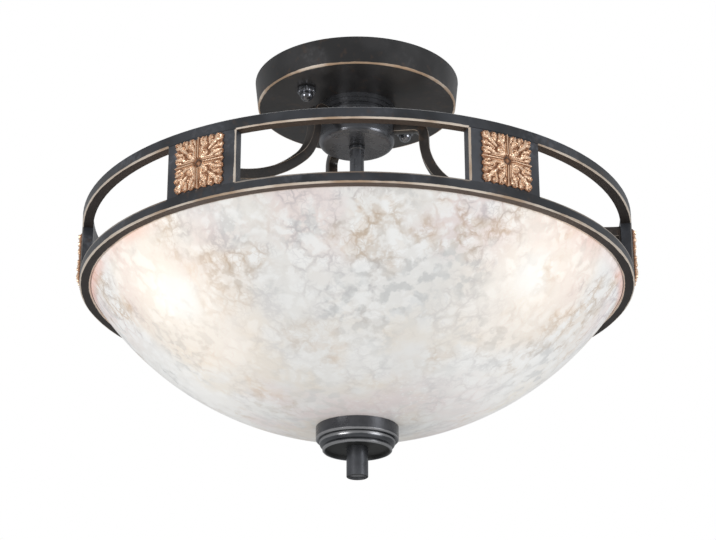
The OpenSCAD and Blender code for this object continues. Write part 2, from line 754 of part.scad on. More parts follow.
module finial_knob() {
    bore_h = finial_grip + 2;
    color([0.3, 0.3, 0.32]) translate([0, 0, finial_low_z]) difference() {
        turned([
            [0, 1.2], [finial_r - 2, 1.2], [finial_r - 1.4, 0], [finial_r - 0.5, 0],
            [finial_r, 0.5], [finial_r, finial_len - touch], [0, finial_len - touch]
        ]);
        translate([0, 0, finial_len - bore_h]) cylinder(r = pipe_r + touch, h = bore_h + 1);
    }
}

// Lampholders

module cluster_cup() {
    color([0.68, 0.67, 0.63]) difference() {
        translate([0, 0, cluster_low_z]) intersection() {
            cylinder(r = cluster_r, h = cluster_h - cluster_wall);
            for_flats();
        }
        translate([0, 0, cluster_low_z + cluster_wall]) intersection() {
            cylinder(r = cluster_r - cluster_wall, h = cluster_h);
            for_flats(cluster_wall);
        }
        translate([0, 0, cluster_low_z - 1]) cylinder(r = pipe_hole_r, h = cluster_wall + 2);
        for (i = [0:sockets - 1]) outwards(socket_angle(i), socket_z)
            cylinder(r = nipple_r + slip, h = cluster_r);
    }
}

// A prism with one flat for each lampholder, set in by the given wall
module for_flats(wall = 0) {
    rotate([0, 0, socket_turn + 180]) linear_extrude(cluster_h * 2, center = true)
        circle(r = (socket_flat - wall) * 2, $fn = 3);
}

module cluster_lid() {
    color([0.68, 0.67, 0.63]) difference() {
        translate([0, 0, cluster_top_z - cluster_wall]) intersection() {
            cylinder(r = cluster_r, h = cluster_wall);
            for_flats();
        }
        translate([0, 0, cluster_top_z - cluster_wall - 1])
            cylinder(r = pipe_hole_r, h = cluster_wall + 2);
    }
}

module socket_nipples() {
    color([0.7, 0.65, 0.5]) for (i = [0:sockets - 1]) outwards(socket_angle(i), socket_z)
        tube(nipple_r, nipple_r - 1.6, nipple_in, socket_at + nipple_grip);
}

module socket_nuts() {
    inner_flat = socket_flat - cluster_wall;
    color([0.7, 0.65, 0.5]) for (i = [0:sockets - 1]) outwards(socket_angle(i), socket_z)
        hex_nut(nipple_nut_af, nipple_r + touch, inner_flat - nipple_nut_h, nipple_nut_h);
}

module socket(i) {
    color([0.9, 0.88, 0.82]) outwards(socket_angle(i), socket_z) difference() {
        turned([
            [0, socket_at], [socket_back_r, socket_at], [socket_back_r, socket_shoulder - 1.5],
            [socket_r, socket_shoulder + 1.5], [socket_r, socket_mouth - 1],
            [socket_r - 1, socket_mouth], [socket_bore_r, socket_mouth],
            [socket_bore_r, socket_floor], [0, socket_floor]
        ]);
        translate([0, 0, socket_at - 1]) cylinder(r = nipple_r + touch, h = nipple_grip + 1.2);
    }
}

module socket_shells() {
    flange_t = 0.8;
    low = socket_floor + touch;
    color([0.8, 0.65, 0.35]) for (i = [0:sockets - 1]) outwards(socket_angle(i), socket_z)
        turned([
            [shell_in_r() - 4, low], [shell_out_r(), low], [shell_out_r(), low + shell_len],
            [shell_in_r(), low + shell_len], [shell_in_r(), low + flange_t],
            [shell_in_r() - 4, low + flange_t]
        ]);
}

module socket_contacts() {
    color([0.8, 0.55, 0.3]) for (i = [0:sockets - 1]) outwards(socket_angle(i), socket_z)
        translate([0, 0, socket_floor + touch]) cylinder(r = contact_r, h = contact_t);
}

// A screw base: a closed cup with a tapered insulator and a tip contact
module bulb_base(i) {
    wall = 0.7;
    color([0.78, 0.76, 0.7]) outwards(socket_angle(i), socket_z) turned([
        [0, bulb_tip], [contact_r - 0.5, bulb_tip], [contact_r, bulb_tip + 0.8],
        [bulb_base_r - 3, bulb_tip + bulb_tip_h - 0.6], [bulb_base_r, bulb_base_at + 1.2],
        [bulb_base_r, bulb_glass_at], [bulb_base_r - wall, bulb_glass_at],
        [bulb_base_r - wall, bulb_base_at + 2], [0, bulb_base_at + 2]
    ]);
}

// The profile of a bulb, from its neck to its tip, drawn in by the given wall
function bulb_outline(wall) =
    let (
        r = bulb_r - wall,
        neck = bulb_neck_r - wall,
        join = [r * cos(45), bulb_centre - r * sin(45)],
        guide = [neck, join[1] - (join[0] - neck)]
    )
    concat(
        [[neck, bulb_glass_at + touch]],
        bend([neck, bulb_glass_at + 4], guide, join, 8),
        arc(0, bulb_centre, r, -39, 90, 18)
    );

module bulb_glass(i) {
    inner = bulb_outline(bulb_wall);
    color([0.98, 0.96, 0.9]) outwards(socket_angle(i), socket_z)
        turned(concat(bulb_outline(0), [for (k = [len(inner) - 1:-1:0]) inner[k]]));
}

// Wiring

// A lead down the pipe that leaves it at both ends in the same direction
module lead(angle) {
    z_low = lead_exit_z + lead_bend;
    bend_x = lead_at + lead_bend;
    top_end = wire_cap_at + wire_cap_grip - 0.5;
    low_end = crimp_at + 3;
    rotate([0, 0, angle]) {
        translate([lead_at, 0, z_low]) cylinder(r = lead_r, h = lead_top_z - z_low, $fn = 24);
        wire_arc(bend_x, lead_top_z, lead_bend, 90, 180);
        wire_arc(bend_x, z_low, lead_bend, 180, 270);
        translate([bend_x, 0, lead_top_z + lead_bend]) rotate([0, 90, 0])
            cylinder(r = lead_r, h = top_end - bend_x, $fn = 24);
        translate([bend_x, 0, lead_exit_z]) rotate([0, 90, 0])
            cylinder(r = lead_r, h = low_end - bend_x, $fn = 24);
    }
}

module lead_black() {
    color([0.08, 0.08, 0.08]) lead(lead_turns[0]);
}

module lead_white() {
    color([0.92, 0.92, 0.9]) lead(lead_turns[1]);
}

// A closed connector cap along +Z with a blind hole for its wire
module wire_end_cap(start, r, length, hole_r, hole_depth) {
    translate([0, 0, start]) difference() {
        turned([[0, 0], [r, 0], [r, length * 0.3], [r * 0.62, length - 1], [r * 0.5, length], [0, length]]);
        translate([0, 0, -1]) cylinder(r = hole_r, h = hole_depth + 1, $fn = 24);
    }
}

module crimp_caps() {
    color([0.85, 0.85, 0.85]) for (angle = lead_turns) outwards(angle, lead_exit_z)
        wire_end_cap(crimp_at, crimp_r, crimp_len, lead_r + touch, 4);
}

module wire_caps() {
    color([0.85, 0.45, 0.1]) {
        for (angle = lead_turns) outwards(angle, lead_top_z + lead_bend)
            wire_end_cap(wire_cap_at, wire_cap_r, wire_cap_len, lead_r + touch, wire_cap_grip);
        along_ground_wire() wire_end_cap(ground_wire_len, wire_cap_r, wire_cap_len,
            ground_wire_r + touch, wire_cap_grip);
    }
}

mounting_strap();
strap_studs();
stud_lock_nuts();
ground_screw();
ground_wire();
canopy();
canopy_knob(-1);  // canopy_knob_1
canopy_knob(1);  // canopy_knob_2
neck_collar();
hub_cup();
hub_nut();
threaded_pipe();
pipe_nuts();
stem_washer();
rod_cover();
arm(0);  // arm_1
arm(1);  // arm_2
arm(2);  // arm_3
arm_hub_screws();
arm_foot_screws();
gallery_top_band();
gallery_bottom_band();
gallery_panel(0);  // gallery_panel_1
gallery_panel(1);  // gallery_panel_2
gallery_panel(2);  // gallery_panel_3
gallery_panel(3);  // gallery_panel_4
gallery_panel(4);  // gallery_panel_5
gallery_panel(5);  // gallery_panel_6
medallion(0);  // medallion_1
medallion(1);  // medallion_2
medallion(2);  // medallion_3
medallion(3);  // medallion_4
medallion(4);  // medallion_5
medallion(5);  // medallion_6
medallion_screws();
glass_bowl();
bowl_stop_plate();
bowl_washer();
bowl_gasket();
finial_cap();
finial_knob();
cluster_cup();
cluster_lid();
socket_nipples();
socket_nuts();
socket(0);  // socket_1
socket(1);  // socket_2
socket(2);  // socket_3
socket_shells();
socket_contacts();
bulb_base(0);  // bulb_base_1
bulb_base(1);  // bulb_base_2
bulb_base(2);  // bulb_base_3
bulb_glass(0);  // bulb_glass_1
bulb_glass(1);  // bulb_glass_2
bulb_glass(2);  // bulb_glass_3
lead_black();
lead_white();
crimp_caps();
wire_caps();
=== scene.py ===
"""Finishes and fine detail of a semi-flush ceiling light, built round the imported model."""

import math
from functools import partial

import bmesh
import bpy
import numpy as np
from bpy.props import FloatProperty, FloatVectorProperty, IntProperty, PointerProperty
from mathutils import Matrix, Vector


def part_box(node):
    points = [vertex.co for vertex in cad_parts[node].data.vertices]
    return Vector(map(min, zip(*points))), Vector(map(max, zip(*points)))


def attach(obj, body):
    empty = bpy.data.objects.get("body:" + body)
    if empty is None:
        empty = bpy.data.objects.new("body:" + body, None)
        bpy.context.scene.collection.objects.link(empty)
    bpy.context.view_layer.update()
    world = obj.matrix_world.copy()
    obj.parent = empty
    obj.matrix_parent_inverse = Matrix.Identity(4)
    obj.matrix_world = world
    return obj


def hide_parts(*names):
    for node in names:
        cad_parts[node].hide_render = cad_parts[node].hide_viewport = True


bl_info = {
    "name": "Semi-flush ceiling light",
    "version": (1, 0, 0),
    "blender": (4, 5, 0),
    "location": "View3D > Sidebar > Ceiling light",
    "description": "Finishes and fine detail of a ceiling light with a marbled glass bowl",
    "category": "Object",
}

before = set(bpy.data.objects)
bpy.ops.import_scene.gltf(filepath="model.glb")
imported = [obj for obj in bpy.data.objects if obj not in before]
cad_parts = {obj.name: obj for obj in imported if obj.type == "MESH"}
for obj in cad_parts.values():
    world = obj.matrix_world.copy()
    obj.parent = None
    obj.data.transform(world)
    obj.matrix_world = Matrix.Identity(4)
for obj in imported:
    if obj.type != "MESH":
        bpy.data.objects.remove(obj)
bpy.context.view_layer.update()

MM = 0.001
FULL_TURN = 2 * math.pi
ARMS = 3
PANELS = 6
BULBS = 3

# Cap nut: (radius, height) of its rim in mm, the dome under it, and its flutes
CAP_NUT_RIM = ((0, 0), (7.0, 0), (7.8, -0.8), (7.8, -4.0), (7.0, -4.9), (5.3, -5.0))
CAP_NUT_DOME_AT, CAP_NUT_DOME, CAP_NUT_TIP = -6.2, 5.6, -11.8
CAP_NUT_FLUTES = 28
FLUTE_DEPTH = 0.35 * MM
FLUTED_FROM = 7.0 * MM

# Gap between an arm's foot plate and the gallery
FOOT_GAP = 0.1 * MM

# Medallion: plate under the leaves, and the gap behind it
PLATE = 0.5 * MM
BACK_GAP = 0.06 * MM

# Bowl: hole for the pipe, rounding of the ground rim, and where the collar starts
BOWL_HOLE = 6.3 * MM
RIM_ROUND = 0.4 * MM
COLLAR_START = 0.8 * MM

# Bulb: distances along it from the light's axis, radii across it, and its base's cone in mm
BULB_START, BULB_TIP = 65.7 * MM, 148.7 * MM
BULB_NECK, BULB_GLOBE, BULB_WALL = 13.2 * MM, 30 * MM, 0.8 * MM
SCREW_START, SCREW_END = 43.5 * MM, 65.6 * MM
SCREW_RADIUS, SCREW_PITCH, SCREW_DEPTH = 13.05 * MM, 3.6 * MM, 0.7 * MM
BASE_CONE = ((0, 38.0), (3.5, 38.0), (4.0, 38.6), (10.2, 41.2), (12.6, 43.0), (12.6, 43.7), (0, 43.7))

# Centre pipe: bore, thread, core, and how far the thread runs into what hides it
PIPE_BORE = 3.3 * MM
PIPE_THREAD, PIPE_CORE = 0.5 * MM, 0.6 * MM
THREAD_PAST = 2 * MM

# Where the bulbs' light falls on the bowl
GLOW_SPOTS = ((-0.136, -0.114, -0.240), (0.140, -0.138, -0.238), (0.010, 0.185, -0.240))

WHITE = (1, 1, 1)
GLOW_HEART = (1, 0.96, 0.89)
# Light grey of painted highlights on rims, and near-black of painted shade
RIM_HIGHLIGHT_GREY = (0.46, 0.46, 0.47)
PAINTED_SHADE_BLACK = (0.004, 0.004, 0.004)

# Each studio light's name, place, power, size and colour, and the point they face
LIGHTS = (
    ("key", (-1.5, -1.7, -0.75), 25, 0.9, (1.0, 0.99, 0.98)),
    ("fill", (1.9, -1.3, -0.45), 22, 1.0, (0.97, 0.98, 1.0)),
    ("top", (0.3, 0.9, 1.3), 14, 1.5, (1.0, 1.0, 1.0)),
)
LIGHTS_FACE = (0, 0, -0.17)

# The floor's half width and height, and the camera's place, turns and lens in mm
FLOOR_HALF, FLOOR_LEVEL = 8.0, -2.4
CAMERA_AT = (0, -1.5496, -0.8048)
CAMERA_YAW, CAMERA_PITCH, CAMERA_ROLL = math.radians(0.03), math.radians(22.18), math.radians(-0.10)
CAMERA_LENS = 100.7


def far(node):
    """Highest corner of a node's box."""
    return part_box(node)[1]


def near(node):
    """Lowest corner of a node's box."""
    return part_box(node)[0]


def length(name, description, mm):
    """A size property, its default given in mm."""
    return FloatProperty(name=name, description=description, default=mm * MM, unit="LENGTH", precision=5)


def colour(name, description, default):
    """A colour property, linear red, green and blue."""
    return FloatVectorProperty(
        name=name, description=description, default=default, subtype="COLOR", size=3, min=0, max=1
    )


def turn(name, description, degrees):
    """An angle property."""
    return FloatProperty(name=name, description=description, default=math.radians(degrees), subtype="ANGLE")


class CeilingLightSizes(bpy.types.PropertyGroup):
    """Sizes of the pieces that are finished here."""

    bar: length("Arm bar", "Side of the square bar of an arm", 8.5)
    bar_edge: length("Arm edge", "Rubbed edge of an arm's bar", 0.75)
    arm_top: length("Arm height", "Height of its level stretch", -43.8)
    arm_start: length("Arm start", "Distance of its start from the axis", 32.3)
    arm_rise: length("Arm rise", "Distance of its upright stretch from the axis", 58)
    arm_bend: length("Arm bend", "Radius of the bend at its top", 9)
    arm_upright: length("Arm upright", "Length of its upright stretch", 4)
    arm_curve: length("Arm curve", "Radius of its tight curve", 54)
    arm_end_drop: length("Arm end", "How far its end lies below the windows' top", 2)
    foot: length("Foot plate", "Thickness of the plate at an arm's end", 2)
    panel_turn: turn("Panel turn", "Angle of the first panel from +X", -0.9)
    panel_angle: turn("Panel width", "Width of a solid panel", 15.6)
    arm_offset: turn("Arm offset", "Angle from a panel's middle to its arm", 6.5)
    socket_turn: turn("Lampholder turn", "Angle of the first lampholder from +X", -33)
    strap_turn: turn("Strap turn", "Angle of the mounting strap from +X", 43)
    stud_at: length("Stud distance", "Distance of a canopy stud from the axis", 58)
    medallion: length("Medallion", "Width of a medallion", 44)
    medallion_high: length("Medallion height", "Height of a medallion", 42.6)
    leaf_relief: length("Leaf relief", "Height of the leaves over their ground", 3.3)
    edge: length("Edge", "Width of the rubbed edges", 0.9)
    canopy_low: length("Canopy edge", "Radius of the canopy at its lower edge", 85.1)
    ring_depth: length("Gallery depth", "Radial depth of the gallery's bars", 9)
    bowl_depth: length("Bowl depth", "Depth of the bowl from its rim", 115.7)
    bowl_rise: length("Bowl rise", "How far the ground rim stands in the gallery", 5)
    rim_gap: length("Rim gap", "Gap between the ground rim and the gallery", 0.6)
    cap_tier: length("Finial tier", "Height of the cap's lower tier", 8.8)
    cap_low: length("Finial lower radius", "Radius of the cap's lower edge", 28.2)
    glass: length("Glass", "Thickness of the bowl's glass", 4.5)
    pipe_pitch: length("Pipe pitch", "Pitch of the pipe's thread", 1)
    medallion_grid: IntProperty(
        name="Medallion grid", description="Points along a medallion's side", default=150, min=20, max=300
    )


class CeilingLightColours(bpy.types.PropertyGroup):
    """Colours of the finishes."""

    bronze: colour("Dark bronze", "Paint of the canopy", (0.020, 0.0195, 0.0205))
    slate: colour("Slate bronze", "Bluish paint of the gallery", (0.026, 0.028, 0.033))
    arm: colour("Arm bronze", "Browner paint of the arms", (0.022, 0.018, 0.016))
    bronze_warm: colour("Warm bronze", "Brown where the paint is thin", (0.115, 0.062, 0.034))
    gold: colour("Rubbed gold", "Metal along rubbed edges", (0.50, 0.36, 0.25))
    gold_pale: colour("Pale gold", "Brighter stretches of rubbed edges", (0.80, 0.70, 0.60))
    gunmetal: colour("Gunmetal", "Paint of hub, finial and cap nuts", (0.030, 0.031, 0.034))
    leaf: colour("Leaf copper", "High parts of the medallions", (0.92, 0.67, 0.48))
    leaf_mid: colour("Leaf brown", "Flanks of the leaves", (0.36, 0.17, 0.085))
    leaf_ground: colour("Leaf ground", "Low parts of the medallions", (0.060, 0.030, 0.018))
    milk: colour("Milk glass", "Body of the glass", (0.76, 0.75, 0.73))
    blush: colour("Blush", "Rosy clouds near the bowl's rim", (0.74, 0.66, 0.645))
    cell: colour("Cell", "Whiter cells and flecks", (0.84, 0.84, 0.83))
    rosy: colour("Rosy rim", "Tint close to the bowl's rim", (0.80, 0.45, 0.38))
    ochre: colour("Ochre", "Pale ochre washes low on the bowl", (0.74, 0.68, 0.60))
    fog: colour("Fog", "Grey clouds in the middle of the bowl", (0.60, 0.60, 0.59))
    vein_grey: colour("Grey vein", "Cool veins", (0.40, 0.38, 0.40))
    vein_tan: colour("Tan vein", "Warm veins", (0.40, 0.27, 0.155))
    lamp: colour("Lamp light", "Colour of the bulbs' light", (1.0, 0.80, 0.60))


def sizes():
    """The light's sizes."""
    return bpy.context.scene.ceiling_light_sizes


def colours():
    """The light's colours."""
    return bpy.context.scene.ceiling_light_colours


def shade(tone, factor):
    """A colour made lighter or darker."""
    return [v * factor for v in tone]


def ring_radius():
    """Outer radius of the gallery."""
    return far("gallery_top_band").x


def inner_radius():
    """Inner radius of the gallery."""
    return ring_radius() - sizes().ring_depth


def window_top():
    """Height of the windows' upper edge."""
    return near("gallery_top_band").z


def window_low():
    """Height of the windows' lower edge."""
    return far("gallery_bottom_band").z


# Meshes


def smooth_mesh(name, verts, faces, material, sharp):
    """A mesh shaded smooth, apart from edges that turn by more than an angle in degrees."""
    mesh = bpy.data.meshes.new(name)
    mesh.from_pydata([tuple(v) for v in verts], [], faces)
    mesh.validate()
    mesh.update()
    mesh.shade_smooth()
    mesh.set_sharp_from_angle(angle=math.radians(sharp))
    mesh.materials.append(material)
    return mesh


def add_object(name, data, matrix=Matrix()):
    """Puts a mesh, light or camera in the scene."""
    made = bpy.data.objects.new(name, data)
    bpy.context.scene.collection.objects.link(made)
    made.matrix_world = matrix
    return made


def place(name, mesh, body, node, matrix=Matrix()):
    """Puts a mesh in the scene, on its body and in place of a CAD node."""
    made = add_object(name, mesh, matrix)
    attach(made, body)
    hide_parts(node)


def piece(name, shape, material, sharp, body, node):
    """Makes a piece from its points and faces, in place of a CAD node."""
    place(name, smooth_mesh(name, *shape, material, sharp), body, node)


def set_round(mesh, count, first, name, node):
    """Places a mesh at equal steps round the axis, each time for one CAD node."""
    for i in range(count):
        matrix = Matrix.Rotation(first + i * FULL_TURN / count, 4, "Z")
        place(f"{name}_{i + 1}", mesh, "fixture", f"{node}_{i + 1}", matrix)


def around(count):
    """Each step along a closed loop of points, as (this, next)."""
    return [(k, (k + 1) % count) for k in range(count)]


def circle(radius, height, segments):
    """Points of a circle about the axis."""
    angles = [FULL_TURN * k / segments for k in range(segments)]
    return [(radius * math.cos(t), radius * math.sin(t), height) for t in angles]


def arc(cx, cz, radius, start, end, steps):
    """Points of an arc, angles in degrees."""
    angles = [math.radians(start + (end - start) * k / steps) for k in range(steps + 1)]
    return [(cx + radius * math.cos(t), cz + radius * math.sin(t)) for t in angles]


def dish(ball, centre, hole, rim, rings=90):
    """Points of the underside of a ball, from a hole in the middle to a rim."""
    radii = [hole + (rim - hole) * k / rings for k in range(rings + 1)]
    return [(r, centre - math.sqrt(ball * ball - r * r)) for r in radii]


def leaning(start, guide, end, steps):
    """Points of a curve from start to end that leans towards a guide point."""
    out = []
    for t in (k / steps for k in range(steps + 1)):
        shares = ((1 - t) ** 2, 2 * t * (1 - t), t * t)
        out.append(tuple(shares[0] * a + shares[1] * b + shares[2] * c for a, b, c in zip(start, guide, end)))
    return out


def in_metres(profile):
    """(radius, height) points from mm."""
    return [(r * MM, z * MM) for r, z in profile]


def revolve(points, segments, closed=False):
    """A solid of revolution about Z from (radius, height) points."""
    verts, rings = [], []
    for r, z in points:
        start, on_axis = len(verts), r < 1e-7
        rings.append([start] * segments if on_axis else list(range(start, start + segments)))
        verts += [(0, 0, z)] if on_axis else circle(r, z, segments)
    faces = []
    for low, high in list(zip(rings, rings[1:])) + ([(rings[-1], rings[0])] if closed else []):
        for k, m in around(segments):
            loop = list(dict.fromkeys((low[k], low[m], high[m], high[k])))
            if len(loop) > 2:
                faces.append(loop)
    return verts, faces


def threaded(radius, low, high, pitch, depth, bore, segments, steps):
    """A rod with a rounded screw thread of some steps a turn, closed at both ends."""
    rows = max(2, int(round((high - low) / pitch * steps)))
    verts, faces = [], []
    for j in range(rows + 1):
        z = low + (high - low) * j / rows
        fade = min(1.0, (z - low) / pitch, (high - z) / pitch)
        for k in range(segments):
            wave = 0.5 - 0.5 * math.cos(FULL_TURN * ((z / pitch - k / segments) % 1.0))
            r = radius - depth * max(0.0, fade) * wave - (1 - fade) * depth
            t = FULL_TURN * k / segments
            verts.append((r * math.cos(t), r * math.sin(t), z))
    top, low_end = rows * segments, len(verts)
    high_end = low_end + segments
    verts += circle(bore, low, segments) + circle(bore, high, segments)
    for a in range(0, top, segments):
        b = a + segments
        faces += [[a + k, a + m, b + m, b + k] for k, m in around(segments)]
    for k, m in around(segments):
        faces.append([m, k, low_end + k, low_end + m])
        faces.append([top + k, top + m, high_end + m, high_end + k])
        faces.append([low_end + m, low_end + k, high_end + k, high_end + m])
    return verts, faces


def rounded_box(low, high, edge):
    """A box with rounded edges."""
    made = bmesh.new()
    bmesh.ops.create_cube(made, size=1.0)
    for v in made.verts:
        v.co = Vector([(a + b) / 2 + at * (b - a) for a, b, at in zip(low, high, v.co)])
    bmesh.ops.bevel(made, geom=list(made.edges), offset=edge, segments=2, affect="EDGES", profile=0.5)
    made.verts.index_update()
    verts = [tuple(v.co) for v in made.verts]
    faces = [[v.index for v in f.verts] for f in made.faces]
    made.free()
    return verts, faces


def joined(*parts):
    """One list of points and one of faces from several."""
    verts, faces = [], []
    for v, f in parts:
        start = len(verts)
        verts += [tuple(p) for p in v]
        faces += [[i + start for i in face] for face in f]
    return verts, faces


def moved(verts, matrix):
    """Points moved by a matrix."""
    return [matrix @ Vector(v) for v in verts]


def outwards(angle, height):
    """Matrix that turns +Z to point away from the axis at an angle and a height."""
    return (
        Matrix.Rotation(angle, 4, "Z")
        @ Matrix.Translation((0, 0, height))
        @ Matrix.Rotation(math.pi / 2, 4, "Y")
    )


# Materials


class Finish:
    """A material's shader nodes, added one by one. Scales are per metre."""

    def __init__(self, name):
        self.material = bpy.data.materials.new(name)
        self.material.use_nodes = True
        self.tree = self.material.node_tree
        self.tree.nodes.clear()
        self.point = self.add("TexCoord").outputs["Object"]

    def add(self, kind, inputs=(), **settings):
        """Adds a node, with links or values on its inputs."""
        node = self.tree.nodes.new("ShaderNode" + kind)
        for key, value in settings.items():
            setattr(node, key, value)
        for key, value in dict(inputs).items():
            if isinstance(value, bpy.types.NodeSocket):
                self.tree.links.new(value, node.inputs[key])
            elif hasattr(value, "__len__"):
                value = tuple(value)
                wide = len(node.inputs[key].default_value)
                node.inputs[key].default_value = value + (1.0,) * (wide - len(value))
            else:
                node.inputs[key].default_value = value
        return node

    def math(self, operation, first, *others):
        """One value's root or size, or many values taken together from the left."""
        if not others:
            return self.add("Math", {0: first}, operation=operation).outputs[0]
        for value in others:
            first = self.add("Math", {0: first, 1: value}, operation=operation).outputs[0]
        return first

    def times(self, *values):
        """Product of values."""
        return self.math("MULTIPLY", *values)

    def plus(self, *values):
        """Sum of values."""
        return self.math("ADD", *values)

    def minus(self, a, b):
        """Difference of two values."""
        return self.math("SUBTRACT", a, b)

    def hypot(self, a, b):
        """Length from two lengths at a right angle."""
        return self.math("SQRT", self.plus(self.times(a, a), self.times(b, b)))

    def vector(self, operation, *values):
        """Sum or difference of two vectors."""
        return self.add("VectorMath", enumerate(values), operation=operation).outputs[0]

    def noise(self, scale, detail, point=None):
        """Soft noise: its value and its colour."""
        return self.add("TexNoise", {"Vector": point or self.point, "Scale": scale, "Detail": detail}).outputs

    def ramp(self, value, low, high, start=0.0, end=1.0):
        """A smooth step from start to end as value goes from low to high."""
        inputs = {"Value": value, "From Min": low, "From Max": high, "To Min": start, "To Max": end}
        return self.add("MapRange", inputs, interpolation_type="SMOOTHSTEP").outputs[0]

    def patches(self, scale, detail, low, high, start=0.0, end=1.0, shift=None):
        """Patches of noise, from start to end. A shift keeps them apart from other patches."""
        point = self.vector("ADD", self.point, shift) if shift else None
        return self.ramp(self.noise(scale, detail, point)[0], low, high, start, end)

    def mix(self, factor, a, b, blend="MIX"):
        """A colour between a and b."""
        return self.add("Mix", {0: factor, 6: a, 7: b}, data_type="RGBA", blend_type=blend).outputs[2]

    def polar(self):
        """Distance from the light's axis, angle about it, and height."""
        x, y, z = self.add("SeparateXYZ", {0: self.point}).outputs
        return self.hypot(x, y), self.math("ARCTAN2", y, x), z

    def off_front(self):
        """Angle from the photographed front, to either side."""
        return self.math("ABSOLUTE", self.plus(self.polar()[1], math.pi / 2))

    def off_middle(self):
        """Distance to either side of the plane through the axis and the front."""
        return self.math("ABSOLUTE", self.add("SeparateXYZ", {0: self.point}).outputs[0])

    def bump(self, height, strength, distance):
        """A normal that makes small dents."""
        return self.add("Bump", {"Height": height, "Strength": strength, "Distance": distance}).outputs[0]

    def surface(self, base, **inputs):
        """Ends the material in one surface shader."""
        named = {k.replace("_", " ").title().replace("Ior", "IOR"): v for k, v in inputs.items()}
        shader = self.add("BsdfPrincipled", {"Base Color": base, **named})
        self.add("OutputMaterial", {"Surface": shader.outputs[0]})
        return self.material


def dark_paint(name, mask=None, warm=None, tone=None, gloss=0.30, black=None):
    """Dark bronze paint with a fine grain. mask: rubbed to gold, paler towards the left and right as a
    painted highlight, warm: thin, black: painted shade, darker and rougher.
    """
    c = colours()
    tone = tone or c.bronze
    f = Finish(name)
    blotch = f.noise(24, 4)[0]
    base = f.mix(f.ramp(blotch, 0.36, 0.66), shade(tone, 0.7), shade(tone, 1.45))
    base = f.mix(f.patches(150, 4, 0.56, 0.74, 0, 0.22), base, c.bronze_warm)
    worn = f.times(f.patches(30, 5, 0.52, 0.68), f.patches(260, 3, 0.42, 0.66, 0.05, 0.3))
    base = f.mix(worn, base, shade(tone, 5))
    rough = f.ramp(blotch, 0.3, 0.7, gloss, gloss + 0.14)
    # Painted shade where black gives a mask: the paint made darker and rougher
    if black:
        shaded_under = black(f)
        base = f.mix(shaded_under, base, shade(tone, 0.25))
        rough = f.plus(rough, f.times(shaded_under, 0.3))
    if warm:
        base = f.mix(warm(f), base, c.bronze_warm)
    metal = 0.0
    if mask:
        rubbed = mask(f)
        # Paler gold in random patches, and towards the left and right a painted highlight
        pale = f.math("MAXIMUM", f.patches(22, 3, 0.40, 0.60), f.ramp(f.off_middle(), 0.13, 0.21))
        base = f.mix(rubbed, base, f.mix(pale, c.gold, c.gold_pale))
        metal = f.times(rubbed, 0.6)
    return f.surface(base, roughness=rough, metallic=metal, normal=f.bump(f.noise(900, 2)[0], 0.14, 0.0002))


def beside(f, outer, half, shift):
    """Distance along the gallery's face from the nearest panel edge, negative on a panel."""
    step = FULL_TURN / PANELS
    turned = f.minus(f.polar()[1], shift - step / 2)
    local = f.minus(f.math("FLOORED_MODULO", turned, step), step / 2)
    return f.times(f.minus(f.math("ABSOLUTE", local), half), outer)


def rubbed_line(f, across, along, width):
    """A line of uneven width where two distances are both small."""
    wear = f.plus(f.noise(26, 2)[0], f.times(f.noise(210, 2)[0], 0.5))
    reach = f.times(f.ramp(wear, 0.45, 1.05, 0.65, 1.3), width)
    return f.ramp(f.math("DIVIDE", f.hypot(across, along), reach), 0.75, 1.15, 1, 0)


def edge_lines(f, corners, width, windows=None):
    """Rubbed lines along circles, each (radius, height, strength).

    With windows, a line of strength under 1.5 shows only at them.
    """
    r, _, z = f.polar()
    total = 0.0
    for cr, cz, strength in corners:
        one = rubbed_line(f, f.minus(r, cr), f.minus(z, cz), width)
        if windows and strength < 1.5:
            one = f.times(one, f.ramp(beside(f, *windows), -0.6 * MM, 0.2 * MM))
        total = f.math("MAXIMUM", total, f.times(one, min(strength, 1.0)))
    return total


def panel_edges(f, windows, width):
    """Rubbed lines along the panels' upright edges, strongest round the front window, where the extra
    strength is a painted highlight.
    """
    line = rubbed_line(f, beside(f, *windows), f.minus(f.polar()[0], windows[0]), width)
    return f.times(line, f.ramp(f.off_front(), math.radians(27), math.radians(33), 1, 0.12))


def underside(f, level, strengths):
    """The lower face of a band, with its strengths at the front and at the sides."""
    strength = f.ramp(f.off_front(), math.radians(25), math.radians(70), *strengths)
    return f.times(f.ramp(f.polar()[2], level + 0.1 * MM, level + 0.5 * MM, 1, 0), strength)


def bar_edges(f):
    """Rubbed arrises, from the arm's own edge attribute."""
    edge = f.add("Attribute", attribute_name="edge").outputs["Fac"]
    wear = f.plus(f.noise(40, 2)[0], f.times(f.noise(260, 2)[0], 0.4))
    return f.times(f.ramp(edge, 0.25, 0.9), f.ramp(wear, 0.5, 0.95, 0.1, 0.85))


def plain_metal(name, tone, rough=0.35, metallic=1.0):
    """Plated or bare metal with fine scratches and uneven gloss."""
    f = Finish(name)
    fine = f.noise(700, 3)[0]
    base = f.mix(f.patches(60, 3, 0.35, 0.7), tone, shade(tone, 0.78))
    gloss = f.ramp(fine, 0.3, 0.75, rough - 0.08, rough + 0.1)
    return f.surface(base, roughness=gloss, metallic=metallic, normal=f.bump(fine, 0.15, 0.0001))


def moulded(name, tone, rough=0.4, **light):
    """Moulded plastic, rubber or ceramic with a faint texture, or frosted glass with its light."""
    f = Finish(name)
    fine = f.noise(450, 3)[0]
    base = f.mix(f.patches(80, 2, 0.3, 0.75), tone, shade(tone, 0.86))
    gloss = f.ramp(fine, 0.3, 0.7, rough - 0.05, rough + 0.08)
    return f.surface(base, roughness=gloss, normal=f.bump(fine, 0.1, 0.0001), **light)


